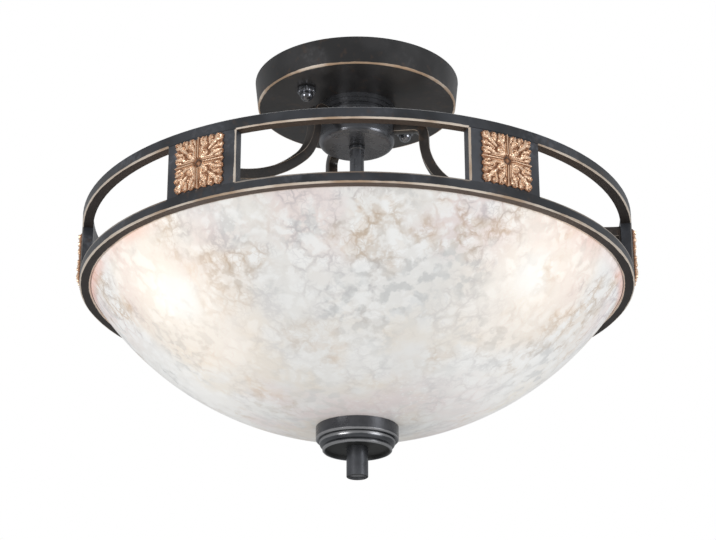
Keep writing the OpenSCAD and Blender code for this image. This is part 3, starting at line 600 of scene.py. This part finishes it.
def gunmetal(name, shine, lift, metallic, bright=None, black=None):
    """Dark grey paint with a metallic sheen. bright: a painted highlight along rims, black: painted shade,
    near-black and rougher.
    """
    tone = colours().gunmetal
    f = Finish(name)
    uneven = f.noise(50, 3)[0]
    base = f.mix(f.ramp(uneven, 0.35, 0.7), shade(tone, lift), shade(tone, 1.5 * lift))
    gloss = f.ramp(uneven, 0.3, 0.7, shine, shine + 0.1)
    # Painted highlight: light grey where bright gives a mask
    if bright:
        base = f.mix(bright(f), base, RIM_HIGHLIGHT_GREY)
    # Painted shade: near-black, rougher and less metallic where black gives a mask
    if black:
        shaded_mask = black(f)
        base = f.mix(shaded_mask, base, PAINTED_SHADE_BLACK)
        gloss = f.plus(gloss, f.times(shaded_mask, 0.35))
        metallic = f.times(f.minus(1.0, shaded_mask), metallic)
    grain = f.bump(f.noise(800, 2)[0], 0.06, 0.0001)
    return f.surface(base, roughness=gloss, metallic=metallic, normal=grain)


def leaf_copper(ground_radius, relief):
    """Antique copper on the leaves over a dark ground, by how far the surface stands out."""
    c = colours()
    f = Finish("leaf copper")
    height = f.math("DIVIDE", f.minus(f.polar()[0], ground_radius), relief)
    wear = f.plus(height, f.times(f.minus(f.noise(300, 3)[0], 0.5), 0.3))
    base = f.mix(f.ramp(wear, 0.02, 0.30), c.leaf_ground, c.leaf_mid)
    base = f.mix(f.ramp(wear, 0.34, 0.74), base, c.leaf)
    metal = f.ramp(wear, 0.3, 0.7, 0.1, 0.5)
    return f.surface(base, roughness=f.ramp(wear, 0.2, 0.9, 0.5, 0.24), metallic=metal)


def marbled_glass():
    """Milk glass with roundish cells, patches of tan and grey veins near the rim, and lit spots."""
    c = colours()
    f = Finish("marbled glass")
    rim, low = far("glass_bowl").z, near("glass_bowl").z
    # 0 at the rim, 1 at the bottom of the bowl
    depth = f.math("DIVIDE", f.minus(rim, f.polar()[2]), rim - low)
    beyond = f.off_middle()

    warped = f.point
    for scale, reach in ((46, 0.020), (210, 0.0075)):
        offset = f.vector("SUBTRACT", f.noise(scale, 3)[1], (0.5, 0.5, 0.5))
        offset = f.add("VectorMath", {0: offset, "Scale": reach}, operation="SCALE").outputs[0]
        warped = f.vector("ADD", warped, offset)

    def cells(scale, reach, past, start, end, feature="DISTANCE_TO_EDGE"):
        """Uneven cells, by the distance from their edges or middles."""
        cell = f.add("TexVoronoi", {"Vector": warped, "Scale": scale}, feature=feature)
        return f.ramp(cell.outputs["Distance"], reach, past, start, end)

    # The bulbs' light: a wide glow with a bright heart, and the marbling fades in it
    glow, heart = 0.0, 0.0
    for spot in GLOW_SPOTS:
        away = f.vector("SUBTRACT", f.point, spot)
        d = f.add("VectorMath", {0: away}, operation="LENGTH").outputs["Value"]
        glow = f.plus(glow, f.ramp(d, 0.006, 0.092, 0.22, 0))
        heart = f.plus(heart, f.ramp(d, 0.002, 0.042, 1, 0))
    plain = f.ramp(glow, 0.02, 0.20, 1, 0.35)

    # Where each kind of marbling lies
    veiny = f.patches(16, 3, 0.42, 0.56, 0.12)
    tanned = f.patches(18, 2, 0.46, 0.60, shift=(7, 5, 9))
    broken = f.patches(60, 3, 0.38, 0.56, shift=(4, 8, 3))
    curdle = f.patches(105, 6, 0.45, 0.58, shift=(5, 2, 6))
    rosy = f.patches(13, 4, 0.44, 0.62, shift=(1, 4, 8))
    ends = f.math("MAXIMUM", f.ramp(depth, 0.12, 0.55, 1, 0), f.ramp(depth, 0.72, 0.95, 0, 0.9))
    washed = f.patches(17, 5, 0.46, 0.62, shift=(6, 3, 2))
    foggy = f.times(curdle, f.patches(20, 3, 0.40, 0.58, shift=(3, 6, 4)))
    foggy = f.times(foggy, f.ramp(depth, 0.1, 0.35, 0.7, 1.05), f.ramp(depth, 0.55, 0.8, 1, 0.45))
    blobs = f.times(cells(64, 0.04, 0.24, 0, 1), f.patches(40, 2, 0.44, 0.56, 0.1, 0.75, shift=(9, 1, 7)))
    flecks = f.patches(34, 2, 0.48, 0.62, 0, 0.5, shift=(2, 9, 1))
    flecks = f.times(cells(210, 0.10, 0.42, 1, 0, "F1"), flecks)
    stained = f.math("MAXIMUM", f.ramp(depth, 0.25, 0.60, 0.26, 0.10), f.ramp(depth, 0.64, 0.84, 0, 0.28))
    layers = (
        (f.times(rosy, ends, plain), c.blush),
        (f.times(washed, f.ramp(depth, 0.50, 0.78, 0.2, 0.75)), c.ochre),
        (f.times(foggy, plain), c.fog),
        (f.times(blobs, f.ramp(depth, 0.3, 0.8, 1, 0.45)), c.cell),
        (flecks, c.cell),
        (f.times(veiny, tanned, stained, curdle), shade(c.vein_tan, 1.5)),
    )
    # Each layer lies over those before it
    body = c.milk
    for amount, tint in layers:
        body = f.mix(amount, body, tint)

    # Veins along the cells' edges, bold and fine, and painted shade, tinted rosy, near the rim at the sides
    bold = f.times(cells(64, 0.0, 0.13, 1, 0), broken)
    fine = f.times(cells(170, 0.0, 0.16, 1, 0), broken, 0.55)
    net = f.times(f.math("MAXIMUM", bold, fine), veiny, f.ramp(depth, 0.10, 0.7, 0.56, 0.20), plain)
    base = f.mix(net, body, f.mix(tanned, c.vein_grey, c.vein_tan))
    # Painted shade, tinted rosy, near the rim away from the front
    rosy_shade = f.times(f.ramp(depth, 0.0, 0.08, 0.6, 0), f.patches(14, 2, 0.42, 0.58, 0.3))
    base = f.mix(f.times(rosy_shade, f.ramp(f.off_front(), 0.7, 1.0)), base, c.rosy)

    light = f.mix(f.ramp(heart, 0.2, 0.9), c.lamp, GLOW_HEART)
    light = f.mix(f.ramp(glow, 0.0, 0.05), WHITE, light)
    # Painted glow: the glass emits light, the bulbs' glow plus more towards the left and right sides and
    # towards the bottom
    low_sides = f.times(f.ramp(depth, 0.45, 0.75), f.ramp(beyond, 0.03, 0.10, 0, 0.11))
    strength = f.plus(
        glow, f.times(heart, 0.07), f.ramp(beyond, 0.05, 0.19, 0.03, 0.30), low_sides,
        f.ramp(depth, 0.45, 0.85, 0, 0.09),
    )
    return f.surface(
        base, roughness=0.30, emission_color=f.mix(1.0, base, light, "MULTIPLY"), emission_strength=strength,
        specular_ior_level=0.35, normal=f.bump(f.noise(60, 2)[0], 0.05, 0.002),
    )


def finish(material, *nodes):
    """Gives CAD nodes a finish, with their shapes as they are."""
    for node in nodes:
        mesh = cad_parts[node].data
        mesh.materials.clear()
        mesh.materials.append(material)


# Operators


class LightStep(bpy.types.Operator):
    """Base of the operators, which run in the order that they stand in."""

    bl_options = {"REGISTER", "UNDO"}


class CEILING_LIGHT_OT_stage(LightStep):
    """Sets the floor, the soft studio lights, the white surround and the camera."""

    bl_idname = "ceiling_light.stage"
    bl_label = "Stage"

    def execute(self, context):
        scene = context.scene
        scene.view_settings.view_transform = "Standard"
        self.floor()
        scene.world = self.surround()
        for name, spot, energy, wide, tint in LIGHTS:
            data = bpy.data.lights.new(name, "AREA")
            data.energy, data.size, data.color = energy, wide, tint
            aim = (Vector(LIGHTS_FACE) - Vector(spot)).to_track_quat("-Z", "Y").to_matrix().to_4x4()
            add_object(name, data, Matrix.Translation(spot) @ aim).visible_camera = False
        scene.camera = self.camera()
        return {"FINISHED"}

    def floor(self):
        """A pale floor well below the light."""
        f = Finish("pale floor")
        base = f.mix(f.patches(4, 3, 0.3, 0.7), (0.88, 0.88, 0.87), (0.92, 0.92, 0.91))
        mesh = bpy.data.meshes.new("floor")
        h, z = FLOOR_HALF, FLOOR_LEVEL
        mesh.from_pydata([(-h, -h, z), (h, -h, z), (h, h, z), (-h, h, z)], [], [[0, 1, 2, 3]])
        mesh.materials.append(f.surface(base, roughness=0.7))
        add_object("floor", mesh)

    def surround(self):
        """White all round for the camera, and dimmer for what it lights."""
        world = bpy.data.worlds.new("surround")
        world.use_nodes = True
        nodes, links = world.node_tree.nodes, world.node_tree.links
        nodes.clear()
        mix = nodes.new("ShaderNodeMixShader")
        for socket, tint, strength in ((1, (0.97, 0.985, 1, 1), 0.45), (2, (1, 1, 1, 1), 1.0)):
            sky = nodes.new("ShaderNodeBackground")
            sky.inputs["Color"].default_value = tint
            sky.inputs["Strength"].default_value = strength
            links.new(sky.outputs[0], mix.inputs[socket])
        links.new(nodes.new("ShaderNodeLightPath").outputs["Is Camera Ray"], mix.inputs[0])
        links.new(mix.outputs[0], nodes.new("ShaderNodeOutputWorld").inputs["Surface"])
        return world

    def camera(self):
        """A long lens from below and in front, at the photograph's angle."""
        data = bpy.data.cameras.new("camera")
        data.sensor_width = 36
        data.lens = CAMERA_LENS
        level = Matrix.Translation(CAMERA_AT) @ Matrix.Rotation(-CAMERA_YAW, 4, "Z")
        raised = level @ Matrix.Rotation(math.pi / 2 + CAMERA_PITCH, 4, "X")
        return add_object("camera", data, raised @ Matrix.Rotation(CAMERA_ROLL, 4, "Z"))


class CEILING_LIGHT_OT_canopy(LightStep):
    """Paints the canopy with its rubbed lower edge, the stepped neck and the hub."""

    bl_idname = "ceiling_light.canopy"
    bl_label = "Canopy, neck and hub"

    def execute(self, context):
        s = sizes()
        corner = (s.canopy_low - s.edge / 2, near("canopy").z + s.edge / 2, 1)
        line = partial(edge_lines, corners=[corner], width=1.3 * MM)
        finish(dark_paint("canopy paint", line, gloss=0.34), "canopy")
        finish(gunmetal("hub paint", 0.22, 3.4, 0.7), "hub_cup", "rod_cover")
        finish(gunmetal("neck paint", 0.20, 1.8, 0.6), "neck_collar")
        finish(gunmetal("hub nut gunmetal", 0.18, 3.0, 0.8), "hub_nut")
        return {"FINISHED"}


class CEILING_LIGHT_OT_cap_nuts(LightStep):
    """Makes the fluted cap nuts that hold the canopy."""

    bl_idname = "ceiling_light.cap_nuts"
    bl_label = "Canopy cap nuts"

    def execute(self, context):
        s = sizes()
        metal = gunmetal("polished gunmetal", 0.12, 5.0, 0.9)
        dome = arc(0, CAP_NUT_DOME_AT, CAP_NUT_DOME, 14, -90, 18)[:-1]
        verts, faces = revolve(in_metres([*CAP_NUT_RIM, *dome, (0, CAP_NUT_TIP)]), 6 * CAP_NUT_FLUTES)
        fluted = []
        for x, y, z in verts:
            r = math.hypot(x, y)
            if r > FLUTED_FROM:
                cut = r - FLUTE_DEPTH * (0.5 - 0.5 * math.cos(CAP_NUT_FLUTES * math.atan2(y, x)))
                x, y = x * cut / r, y * cut / r
            fluted.append((x, y, z))
        top = far("canopy_knob_1").z
        for number, side in ((1, -1), (2, 1)):
            centre = Matrix.Rotation(s.strap_turn, 4, "Z") @ Matrix.Translation((side * s.stud_at, 0, top))
            shape, node = (moved(fluted, centre), faces), f"canopy_knob_{number}"
            piece(f"cap_nut_{number}", shape, metal, 35, f"knob_{number}", node)
        return {"FINISHED"}


class CEILING_LIGHT_OT_arms(LightStep):
    """Makes the bent bars of the arms, with rubbed arrises and foot plates."""

    bl_idname = "ceiling_light.arms"
    bl_label = "Arms"

    def path(self, s, end_r):
        """Points of an arm's middle line in its own plane, as (radius, height).

        The tight curve turns just so far that a wide curve takes it level to the foot plate.
        """
        end_z = window_top() - s.arm_end_drop - s.bar / 2
        curve_z = s.arm_top - s.arm_bend - s.arm_upright
        reach, fall = end_r - s.arm_rise, curve_z - end_z
        low, high = math.radians(15), math.radians(80)
        for _ in range(40):
            mid = (low + high) / 2
            wide = (reach - s.arm_curve * (1 - math.cos(mid))) / math.cos(mid)
            got = s.arm_curve * math.sin(mid) + wide * (1 - math.sin(mid))
            low, high = (mid, high) if got > fall else (low, mid)
        turned = 180 + math.degrees(mid)
        level = s.arm_rise - s.arm_bend - s.arm_start
        points = [(s.arm_start + level * k / 4, s.arm_top) for k in range(4)]
        points += arc(s.arm_rise - s.arm_bend, s.arm_top - s.arm_bend, s.arm_bend, 90, 0, 12)
        points += arc(s.arm_rise + s.arm_curve, curve_z, s.arm_curve, 180, turned, 24)
        points += arc(end_r, end_z + wide, wide, turned, 270, 40)[1:]
        return points

    def bar(self, s, points):
        """A square bar along the path, with narrow arrises that carry the edge mark."""
        half = s.bar / 2
        flat, arris = half - s.bar_edge, half - 0.3 * s.bar_edge
        section, marks = [], [0.0, 1.0, 0.0] * 4 * len(points)
        for sx, sy in ((1, 1), (-1, 1), (-1, -1), (1, -1)):
            corner = [(sx * half, sy * flat), (sx * arris, sy * arris), (sx * flat, sy * half)]
            section += corner if sx * sy > 0 else corner[::-1]
        verts, count = [], len(section)
        for i, (r, z) in enumerate(points):
            along = Vector((1, 0))
            if 0 < i < len(points) - 1:
                (next_r, next_z), (last_r, last_z) = points[i + 1], points[i - 1]
                along = Vector((next_r - last_r, next_z - last_z)).normalized()
            verts += [(r - along.y * u, v, z + along.x * u) for u, v in section]
        last = len(verts) - count
        faces = []
        for a in range(0, last, count):
            b = a + count
            faces += [[a + k, b + k, b + m, a + m] for k, m in around(count)]
        faces += [list(range(count)), list(range(last, last + count))[::-1]]
        return verts, marks, faces

    def execute(self, context):
        s = sizes()
        end_r = inner_radius() - FOOT_GAP - s.foot
        verts, marks, faces = self.bar(s, self.path(s, end_r))
        foot_low = (end_r, -s.bar / 2, near("arm_1").z)
        foot_high = (end_r + s.foot, s.bar / 2, window_top() - s.arm_end_drop)
        foot = rounded_box(foot_low, foot_high, 0.5 * MM)
        paint = dark_paint("arm paint", bar_edges, tone=colours().arm, gloss=0.28)
        mesh = smooth_mesh("arm", *joined((verts, faces), foot), paint, 40)
        marks += [0.0] * len(foot[0])
        mesh.attributes.new("edge", "FLOAT", "POINT").data.foreach_set("value", marks)
        set_round(mesh, ARMS, s.panel_turn - s.arm_offset, "arm_bar", "arm")
        return {"FINISHED"}


class CEILING_LIGHT_OT_gallery(LightStep):
    """Paints the gallery's bands and panels, with gold along their rubbed edges, painted shade under the
    bands, and the panels made lighter as a painted sheen.
    """

    bl_idname = "ceiling_light.gallery"
    bl_label = "Gallery"

    def execute(self, context):
        s, slate = sizes(), colours().slate
        outer, inner, e = ring_radius(), inner_radius(), s.edge / 2
        low, top = near("gallery_bottom_band").z, window_top()
        windows = (outer, s.panel_angle / 2, s.panel_turn)
        low_corners = [(outer - e, low + e, 2), (inner + e, low + e, 1.5), (outer, window_low(), 0.35)]
        # Under each band: thin brown paint (warm) and painted shade (black), each pair its strength at the
        # front and at the sides
        for band, level, corners, width, warm, black in (
            ("top", top, [(outer - e, top + e, 1)], 0.85 * MM, (0.4, 0.1), (1, 1)),
            ("bottom", low, low_corners, 0.95 * MM, (0.6, 0.1), (0.5, 1)),
        ):
            line = partial(edge_lines, corners=corners, width=width, windows=windows)
            warm, black = [partial(underside, level=level, strengths=pair) for pair in (warm, black)]
            finish(dark_paint(f"{band} band paint", line, warm, slate, 0.28, black), f"gallery_{band}_band")
        upright = partial(panel_edges, windows=windows, width=1.3 * MM)
        # The panels take the bands' paint made lighter, a painted sheen
        paint = dark_paint("panel paint", upright, tone=shade(slate, 1.6))
        finish(paint, *[f"gallery_panel_{i + 1}" for i in range(PANELS)])
        return {"FINISHED"}


def petal(x, y, start, angle, size, width, curl, top):
    """Height of one leaf lobe at the points x, y: rounded across, with a groove down its middle."""
    t = math.radians(angle)
    dx, dy = x - start[0], y - start[1]
    u = dx * math.cos(t) + dy * math.sin(t)
    v = -dx * math.sin(t) + dy * math.cos(t)
    k = np.clip(u / size, 0.0, 1.0)
    v = v - curl * k * k * size
    half = width * np.sqrt(np.clip(np.sin(np.pi * k ** 0.85), 0, 1)) + 1e-6
    inside = (u > 0) & (u < size) & (np.abs(v) < half)
    across = np.sqrt(np.clip(1 - (v / half) ** 2, 0, 1))
    along = 0.55 + 0.45 * np.sin(np.pi * (0.15 + 0.75 * k))
    groove = 0.22 * np.exp(-((v / (0.22 * half + 1e-6)) ** 2)) * np.sin(np.pi * k)
    return np.where(inside, top * along * across - groove, 0.0)


def scroll(x, y, centre, radius, start, sense, top=0.95):
    """Height of a rolled leaf: a ridge that winds in to a ball in the middle."""
    dx, dy = x - centre[0], y - centre[1]
    d = np.hypot(dx, dy) / radius
    wind = sense * (np.arctan2(dy, dx) - math.radians(start)) / FULL_TURN
    ridge = 0.5 + 0.5 * np.cos(FULL_TURN * (1.75 * d - wind - 0.6))
    wound = top * (0.12 + 0.88 * ridge ** 0.8) * np.clip((1.06 - d) / 0.16, 0, 1)
    ball = top * np.sqrt(np.clip(1 - (d / 0.26) ** 2, 0, 1))
    return np.where(d < 1.06, np.maximum(wound, ball), 0.0)


# Lobes of a quarter of the rosette, each mirrored: start, angle, length, width, curl and height
LOBES = (
    ((0.0, 0.0), 45, 0.16, 0.06, 0.0, 0.7),
    ((0.08, 0.08), 45, 0.42, 0.10, 0.0, 0.85),
    ((0.42, 0.42), 45, 0.62, 0.085, 0.0, 0.9),
    ((0.10, 0.14), 78, 0.50, 0.06, 0.10, 0.85),
    ((0.16, 0.46), 62, 0.56, 0.07, 0.15, 0.85),
    ((0.12, 0.66), 84, 0.36, 0.055, -0.12, 0.8),
    ((0.46, 0.62), 80, 0.42, 0.06, 0.10, 0.8),
    ((0.70, 0.74), 70, 0.30, 0.055, 0.0, 0.8),
)

# Scrolls of a quarter of the rosette: centre, radius, angle of the outer end, and sense
SCROLLS = (
    ((0.30, 0.31), 0.155, 200, 1),
    ((0.30, 0.66), 0.145, 250, 1),
    ((0.66, 0.30), 0.145, 20, -1),
    ((0.63, 0.63), 0.140, 225, 1),
    ((0.53, 0.87), 0.105, 250, -1),
    ((0.87, 0.53), 0.105, 20, 1),
    ((0.20, 0.88), 0.090, 90, 1),
    ((0.88, 0.20), 0.090, 0, -1),
    ((0.86, 0.86), 0.110, 225, -1),
)


def rosette(x, y):
    """Height from 0 to 1 of a traditional square rosette over the square from -1 to 1."""
    x, y = np.abs(x), np.abs(y)
    h = 0.20 + 0.12 * np.cos(26 * x) * np.cos(26 * y)
    for (a, b), angle, size, width, curl, top in LOBES:
        h = np.maximum(h, petal(x, y, (a, b), angle, size, width, curl, top))
        h = np.maximum(h, petal(x, y, (b, a), 90 - angle, size, width, -curl, top))
    for row in SCROLLS:
        h = np.maximum(h, scroll(x, y, *row))
    ribs = 1 - 0.16 * (0.5 - 0.5 * np.cos(17 * np.arctan2(y - 0.32, x - 0.32)))
    h = h * np.where(np.hypot(x - 0.30, y - 0.31) > 0.17, ribs, 1.0)
    # The ribbed stems between the quarters
    for across, along in ((x, y), (y, x)):
        stem = (0.5 + 0.5 * np.cos(FULL_TURN * across / 0.085)) ** 0.7 * (0.86 - 0.25 * along)
        end = 0.78 + 0.22 * np.cos(FULL_TURN * across / 0.26)
        within = (across < 0.115 + 0.02 * along) & (along > 0.16) & (along < end)
        h = np.where(within, np.maximum(0.1, stem), h)
    # The small star in a round hollow in the middle
    d = np.hypot(x, y)
    star = 0.42 * np.clip(1 - (x + y) / 0.13, 0, 1)
    h = np.where(d < 0.22, h * np.clip((d - 0.12) / 0.10, 0, 1), h)
    return np.clip(np.maximum(h, star), 0, 1)


def leafy(x, y):
    """How far a point of the square is drawn in, so that the outline follows the leaves' tips."""
    near_side = np.maximum(np.abs(x), np.abs(y)) ** 8
    along = FULL_TURN * np.minimum(np.abs(x), np.abs(y))
    return 1 - near_side * (0.030 * (1 - np.cos(3.5 * along)) + 0.012 * (1 - np.cos(9 * along)))


class CEILING_LIGHT_OT_medallions(LightStep):
    """Carves the leaf rosettes of the six medallions."""

    bl_idname = "ceiling_light.medallions"
    bl_label = "Medallions"

    def execute(self, context):
        s = sizes()
        n, outer = s.medallion_grid, ring_radius()
        line = np.linspace(-1, 1, n)
        x, y = np.meshgrid(line, line)
        drawn = leafy(x, y)
        middle = (window_top() + window_low()) / 2
        across, up = x * drawn * s.medallion / 2, y * drawn * s.medallion_high / 2 + middle
        front = np.sqrt(outer * outer - across * across) + PLATE + rosette(x, y) * s.leaf_relief
        verts = list(zip(front.ravel(), across.ravel(), up.ravel()))
        side = range(n - 1)
        faces = [[a, a + 1, a + n + 1, a + n] for j in side for a in range(j * n, j * n + n - 1)]
        # The back follows the gallery's face from the plate's four sides to its middle
        rim = [*side, *(n - 1 + n * j for j in side)]
        rim += [n * n - 1 - k for k in rim]
        back = len(verts)
        for _, b, d in [verts[k] for k in rim]:
            verts.append((math.sqrt(outer * outer - b * b) + BACK_GAP, b, d))
        centre = len(verts)
        verts.append((outer + BACK_GAP, 0, middle))
        steps = around(len(rim))
        faces += [[rim[q], rim[k], back + k, back + q] for k, q in steps]
        faces += [[back + q, back + k, centre] for k, q in steps]
        copper = leaf_copper(outer + PLATE * 0.6, s.leaf_relief)
        mesh = smooth_mesh("medallion", verts, faces, copper, 70)
        set_round(mesh, PANELS, s.panel_turn, "rosette", "medallion")
        return {"FINISHED"}


class CEILING_LIGHT_OT_glass_bowl(LightStep):
    """Makes the marbled glass bowl with its ground rim."""

    bl_idname = "ceiling_light.glass_bowl"
    bl_label = "Glass bowl"

    def execute(self, context):
        s, rim = sizes(), far("glass_bowl")
        ball = (rim.x * rim.x + s.bowl_depth * s.bowl_depth) / (2 * s.bowl_depth)
        centre = rim.z - s.bowl_depth + ball
        inner_ball = ball - s.glass
        inner_rim = math.sqrt(inner_ball * inner_ball - (centre - rim.z) ** 2)
        lip, edge = rim.z + s.bowl_rise, inner_radius() - s.rim_gap
        profile = dish(ball, centre, BOWL_HOLE, rim.x)
        profile += [(edge, rim.z + COLLAR_START), (edge, lip - RIM_ROUND), (edge - RIM_ROUND, lip)]
        profile += [(inner_rim + RIM_ROUND, lip), (inner_rim, lip - RIM_ROUND)]
        profile += dish(inner_ball, centre, BOWL_HOLE, inner_rim)[::-1]
        shape = revolve(profile, 256, closed=True)
        piece("marbled_bowl", shape, marbled_glass(), 50, "bowl", "glass_bowl")
        return {"FINISHED"}


class CEILING_LIGHT_OT_finial(LightStep):
    """Paints the finial's cap and stem, with painted highlights on the cap's rims and painted shade in its
    hollow and on the stem's end, and the rubber rings that seat the glass.
    """

    bl_idname = "ceiling_light.finial"
    bl_label = "Finial"

    def execute(self, context):
        s, foot = sizes(), near("finial_knob").z
        # Painted highlights: light grey lines along the cap's rims
        low, tier = near("finial_cap").z, near("finial_cap").z + s.cap_tier
        corners = [
            (far("finial_cap").x, tier + 0.5 * MM, 0.55),
            (s.cap_low + 2.4 * MM, tier - 1.6 * MM, 0.5),
            (s.cap_low, low + 0.4 * MM, 0.5),
        ]
        rims = partial(edge_lines, corners=corners, width=1.2 * MM)

        def recess(f):
            """Painted shade in the hollow under the cap."""
            r, _, z = f.polar()
            inside = f.ramp(r, s.cap_low - 2.6 * MM, s.cap_low - 1.6 * MM, 1, 0)
            return f.times(inside, f.ramp(z, low + 5 * MM, low + 7 * MM, 1, 0))

        def end(f):
            """Painted shade on the stem's lower end."""
            return f.ramp(f.polar()[2], foot + 0.1 * MM, foot + 0.4 * MM, 1, 0)

        finish(gunmetal("finial cap gunmetal", 0.24, 2.0, 0.7, rims, recess), "finial_cap")
        finish(gunmetal("finial stem gunmetal", 0.22, 2.4, 0.7, None, end), "finial_knob")
        finish(moulded("rubber", (0.02, 0.02, 0.02), 0.7), "bowl_gasket", "bowl_washer")
        finish(plain_metal("plated plate", (0.55, 0.54, 0.52)), "bowl_stop_plate")
        return {"FINISHED"}


class CEILING_LIGHT_OT_lampholders(LightStep):
    """Finishes the lampholders and the round box that carries them."""

    bl_idname = "ceiling_light.lampholders"
    bl_label = "Lampholders"

    def execute(self, context):
        holder = moulded("lampholder", (0.80, 0.78, 0.72), 0.3)
        finish(holder, "socket_1", "socket_2", "socket_3")
        brass = plain_metal("brass", (0.62, 0.46, 0.22), 0.3)
        finish(brass, "socket_shells", "socket_contacts", "socket_nipples", "socket_nuts")
        finish(plain_metal("zinc box", (0.50, 0.49, 0.46), 0.4), "cluster_cup", "cluster_lid")
        return {"FINISHED"}


class CEILING_LIGHT_OT_bulbs(LightStep):
    """Makes the bulbs: lit frosted glass and threaded bases."""

    bl_idname = "ceiling_light.bulbs"
    bl_label = "Bulbs"

    def globe(self):
        """The glass, from its neck over the globe to the tip and back inside."""
        middle, slope = BULB_TIP - BULB_GLOBE, BULB_GLOBE * math.sin(math.pi / 4)
        join = (slope, middle - slope)
        guide = (BULB_NECK, join[1] - (join[0] - BULB_NECK))
        neck_inside = BULB_NECK - BULB_WALL
        profile = [(neck_inside, BULB_START + 0.2 * MM), (BULB_NECK - 0.2 * MM, BULB_START)]
        profile += [(BULB_NECK, BULB_START + 0.4 * MM)]
        profile += leaning((BULB_NECK, BULB_START + 4 * MM), guide, join, 12)
        profile += arc(0, middle, BULB_GLOBE, -42, 90, 30)[:-1] + [(0, BULB_TIP), (0, BULB_TIP - BULB_WALL)]
        profile += arc(0, middle, BULB_GLOBE - BULB_WALL, 88, -42, 24) + [(neck_inside, BULB_START + 6 * MM)]
        return revolve(profile, 72, closed=True)

    def screw(self):
        """The threaded shell of the base and the cone under it."""
        shell = threaded(SCREW_RADIUS, SCREW_START, SCREW_END, SCREW_PITCH, SCREW_DEPTH, 0.0, 60, 10)
        return joined(shell, revolve(in_metres(BASE_CONE), 60))

    def execute(self, context):
        light = {"emission_color": (1.0, 0.86, 0.66), "emission_strength": 0.42}
        parts = (
            ("lit_globe", self.globe(), moulded("lit frosted glass", (0.62, 0.58, 0.50), 0.45, **light), 50,
             "frosted_glass", "bulb_glass"),
            ("screw_base", self.screw(), plain_metal("bulb base", (0.68, 0.66, 0.62), 0.28), 60,
             "bulb_base", "bulb_base"),
        )
        height = (far("bulb_glass_1").z + near("bulb_glass_1").z) / 2
        for i in range(BULBS):
            matrix = outwards(sizes().socket_turn + i * FULL_TURN / BULBS, height)
            for name, (verts, faces), metal_or_glass, sharp, slot, node in parts:
                shape, number = (moved(verts, matrix), faces), f"_{i + 1}"
                piece(name + number, shape, metal_or_glass, sharp, "bulb" + number, node + number)
        return {"FINISHED"}


class CEILING_LIGHT_OT_pipe(LightStep):
    """Makes the threaded centre pipe and finishes the nuts and washer on it."""

    bl_idname = "ceiling_light.pipe"
    bl_label = "Centre pipe"

    def execute(self, context):
        low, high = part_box("threaded_pipe")
        radius, pitch = high.x, sizes().pipe_pitch
        core_low, core_high = near("cluster_cup").z + THREAD_PAST, near("canopy").z + THREAD_PAST
        core = radius - PIPE_CORE
        plain = [(PIPE_BORE, core_low), (core, core_low), (core, core_high), (PIPE_BORE, core_high)]
        shape = joined(
            threaded(radius, low.z, core_low, pitch, PIPE_THREAD, PIPE_BORE, 40, 6),
            threaded(radius, core_high, high.z, pitch, PIPE_THREAD, PIPE_BORE, 40, 6),
            revolve(plain, 40, closed=True),
        )
        steel = plain_metal("plated steel", (0.58, 0.56, 0.50), 0.32)
        piece("centre_pipe", shape, steel, 40, "fixture", "threaded_pipe")
        finish(steel, "pipe_nuts", "stem_washer")
        return {"FINISHED"}


class CEILING_LIGHT_OT_fixings(LightStep):
    """Finishes the mounting strap, its studs and all screws."""

    bl_idname = "ceiling_light.fixings"
    bl_label = "Strap and screws"

    def execute(self, context):
        zinc = plain_metal("zinc plate", (0.60, 0.59, 0.56))
        finish(zinc, "mounting_strap", "strap_studs", "stud_lock_nuts")
        finish(plain_metal("green plate", (0.05, 0.25, 0.09), metallic=0.6), "ground_screw")
        dark = plain_metal("black screws", (0.06, 0.058, 0.055), 0.4, 0.7)
        finish(dark, "arm_hub_screws", "arm_foot_screws", "medallion_screws")
        return {"FINISHED"}


class CEILING_LIGHT_OT_wiring(LightStep):
    """Finishes the leads, the ground wire and their caps."""

    bl_idname = "ceiling_light.wiring"
    bl_label = "Wiring"

    def execute(self, context):
        finish(moulded("black insulation", (0.015, 0.015, 0.015), 0.45), "lead_black")
        finish(moulded("white insulation", (0.75, 0.75, 0.73), 0.45), "lead_white")
        finish(plain_metal("copper", (0.62, 0.30, 0.16), 0.3), "ground_wire")
        finish(moulded("orange cap", (0.75, 0.22, 0.03)), "wire_caps")
        finish(moulded("crimp cap", (0.70, 0.70, 0.68)), "crimp_caps")
        return {"FINISHED"}


OPERATORS = LightStep.__subclasses__()


class CEILING_LIGHT_PT_panel(bpy.types.Panel):
    """Lists the light's sizes, colours and operators in the sidebar."""

    bl_idname = "CEILING_LIGHT_PT_panel"
    bl_label = "Ceiling light"
    bl_space_type = "VIEW_3D"
    bl_region_type = "UI"
    bl_category = "Ceiling light"

    def draw(self, context):
        layout = self.layout
        for group in (sizes(), colours()):
            box = layout.box()
            for key in group.bl_rna.properties.keys():
                if key not in ("rna_type", "name"):
                    box.prop(group, key)
        for operator in OPERATORS:
            layout.operator(operator.bl_idname)


CLASSES = (CeilingLightSizes, CeilingLightColours, *OPERATORS, CEILING_LIGHT_PT_panel)


def register():
    """Registers the classes and hangs both groups on the scene."""
    for cls in CLASSES:
        bpy.utils.register_class(cls)
    bpy.types.Scene.ceiling_light_sizes = PointerProperty(type=CeilingLightSizes)
    bpy.types.Scene.ceiling_light_colours = PointerProperty(type=CeilingLightColours)


def unregister():
    """Undoes what register did."""
    del bpy.types.Scene.ceiling_light_colours
    del bpy.types.Scene.ceiling_light_sizes
    for cls in reversed(CLASSES):
        bpy.utils.unregister_class(cls)


def main():
    """Runs every operator in order."""
    register()
    for operator in OPERATORS:
        group, name = operator.bl_idname.split(".")
        getattr(getattr(bpy.ops, group), name)()


if __name__ == "__main__":
    main()
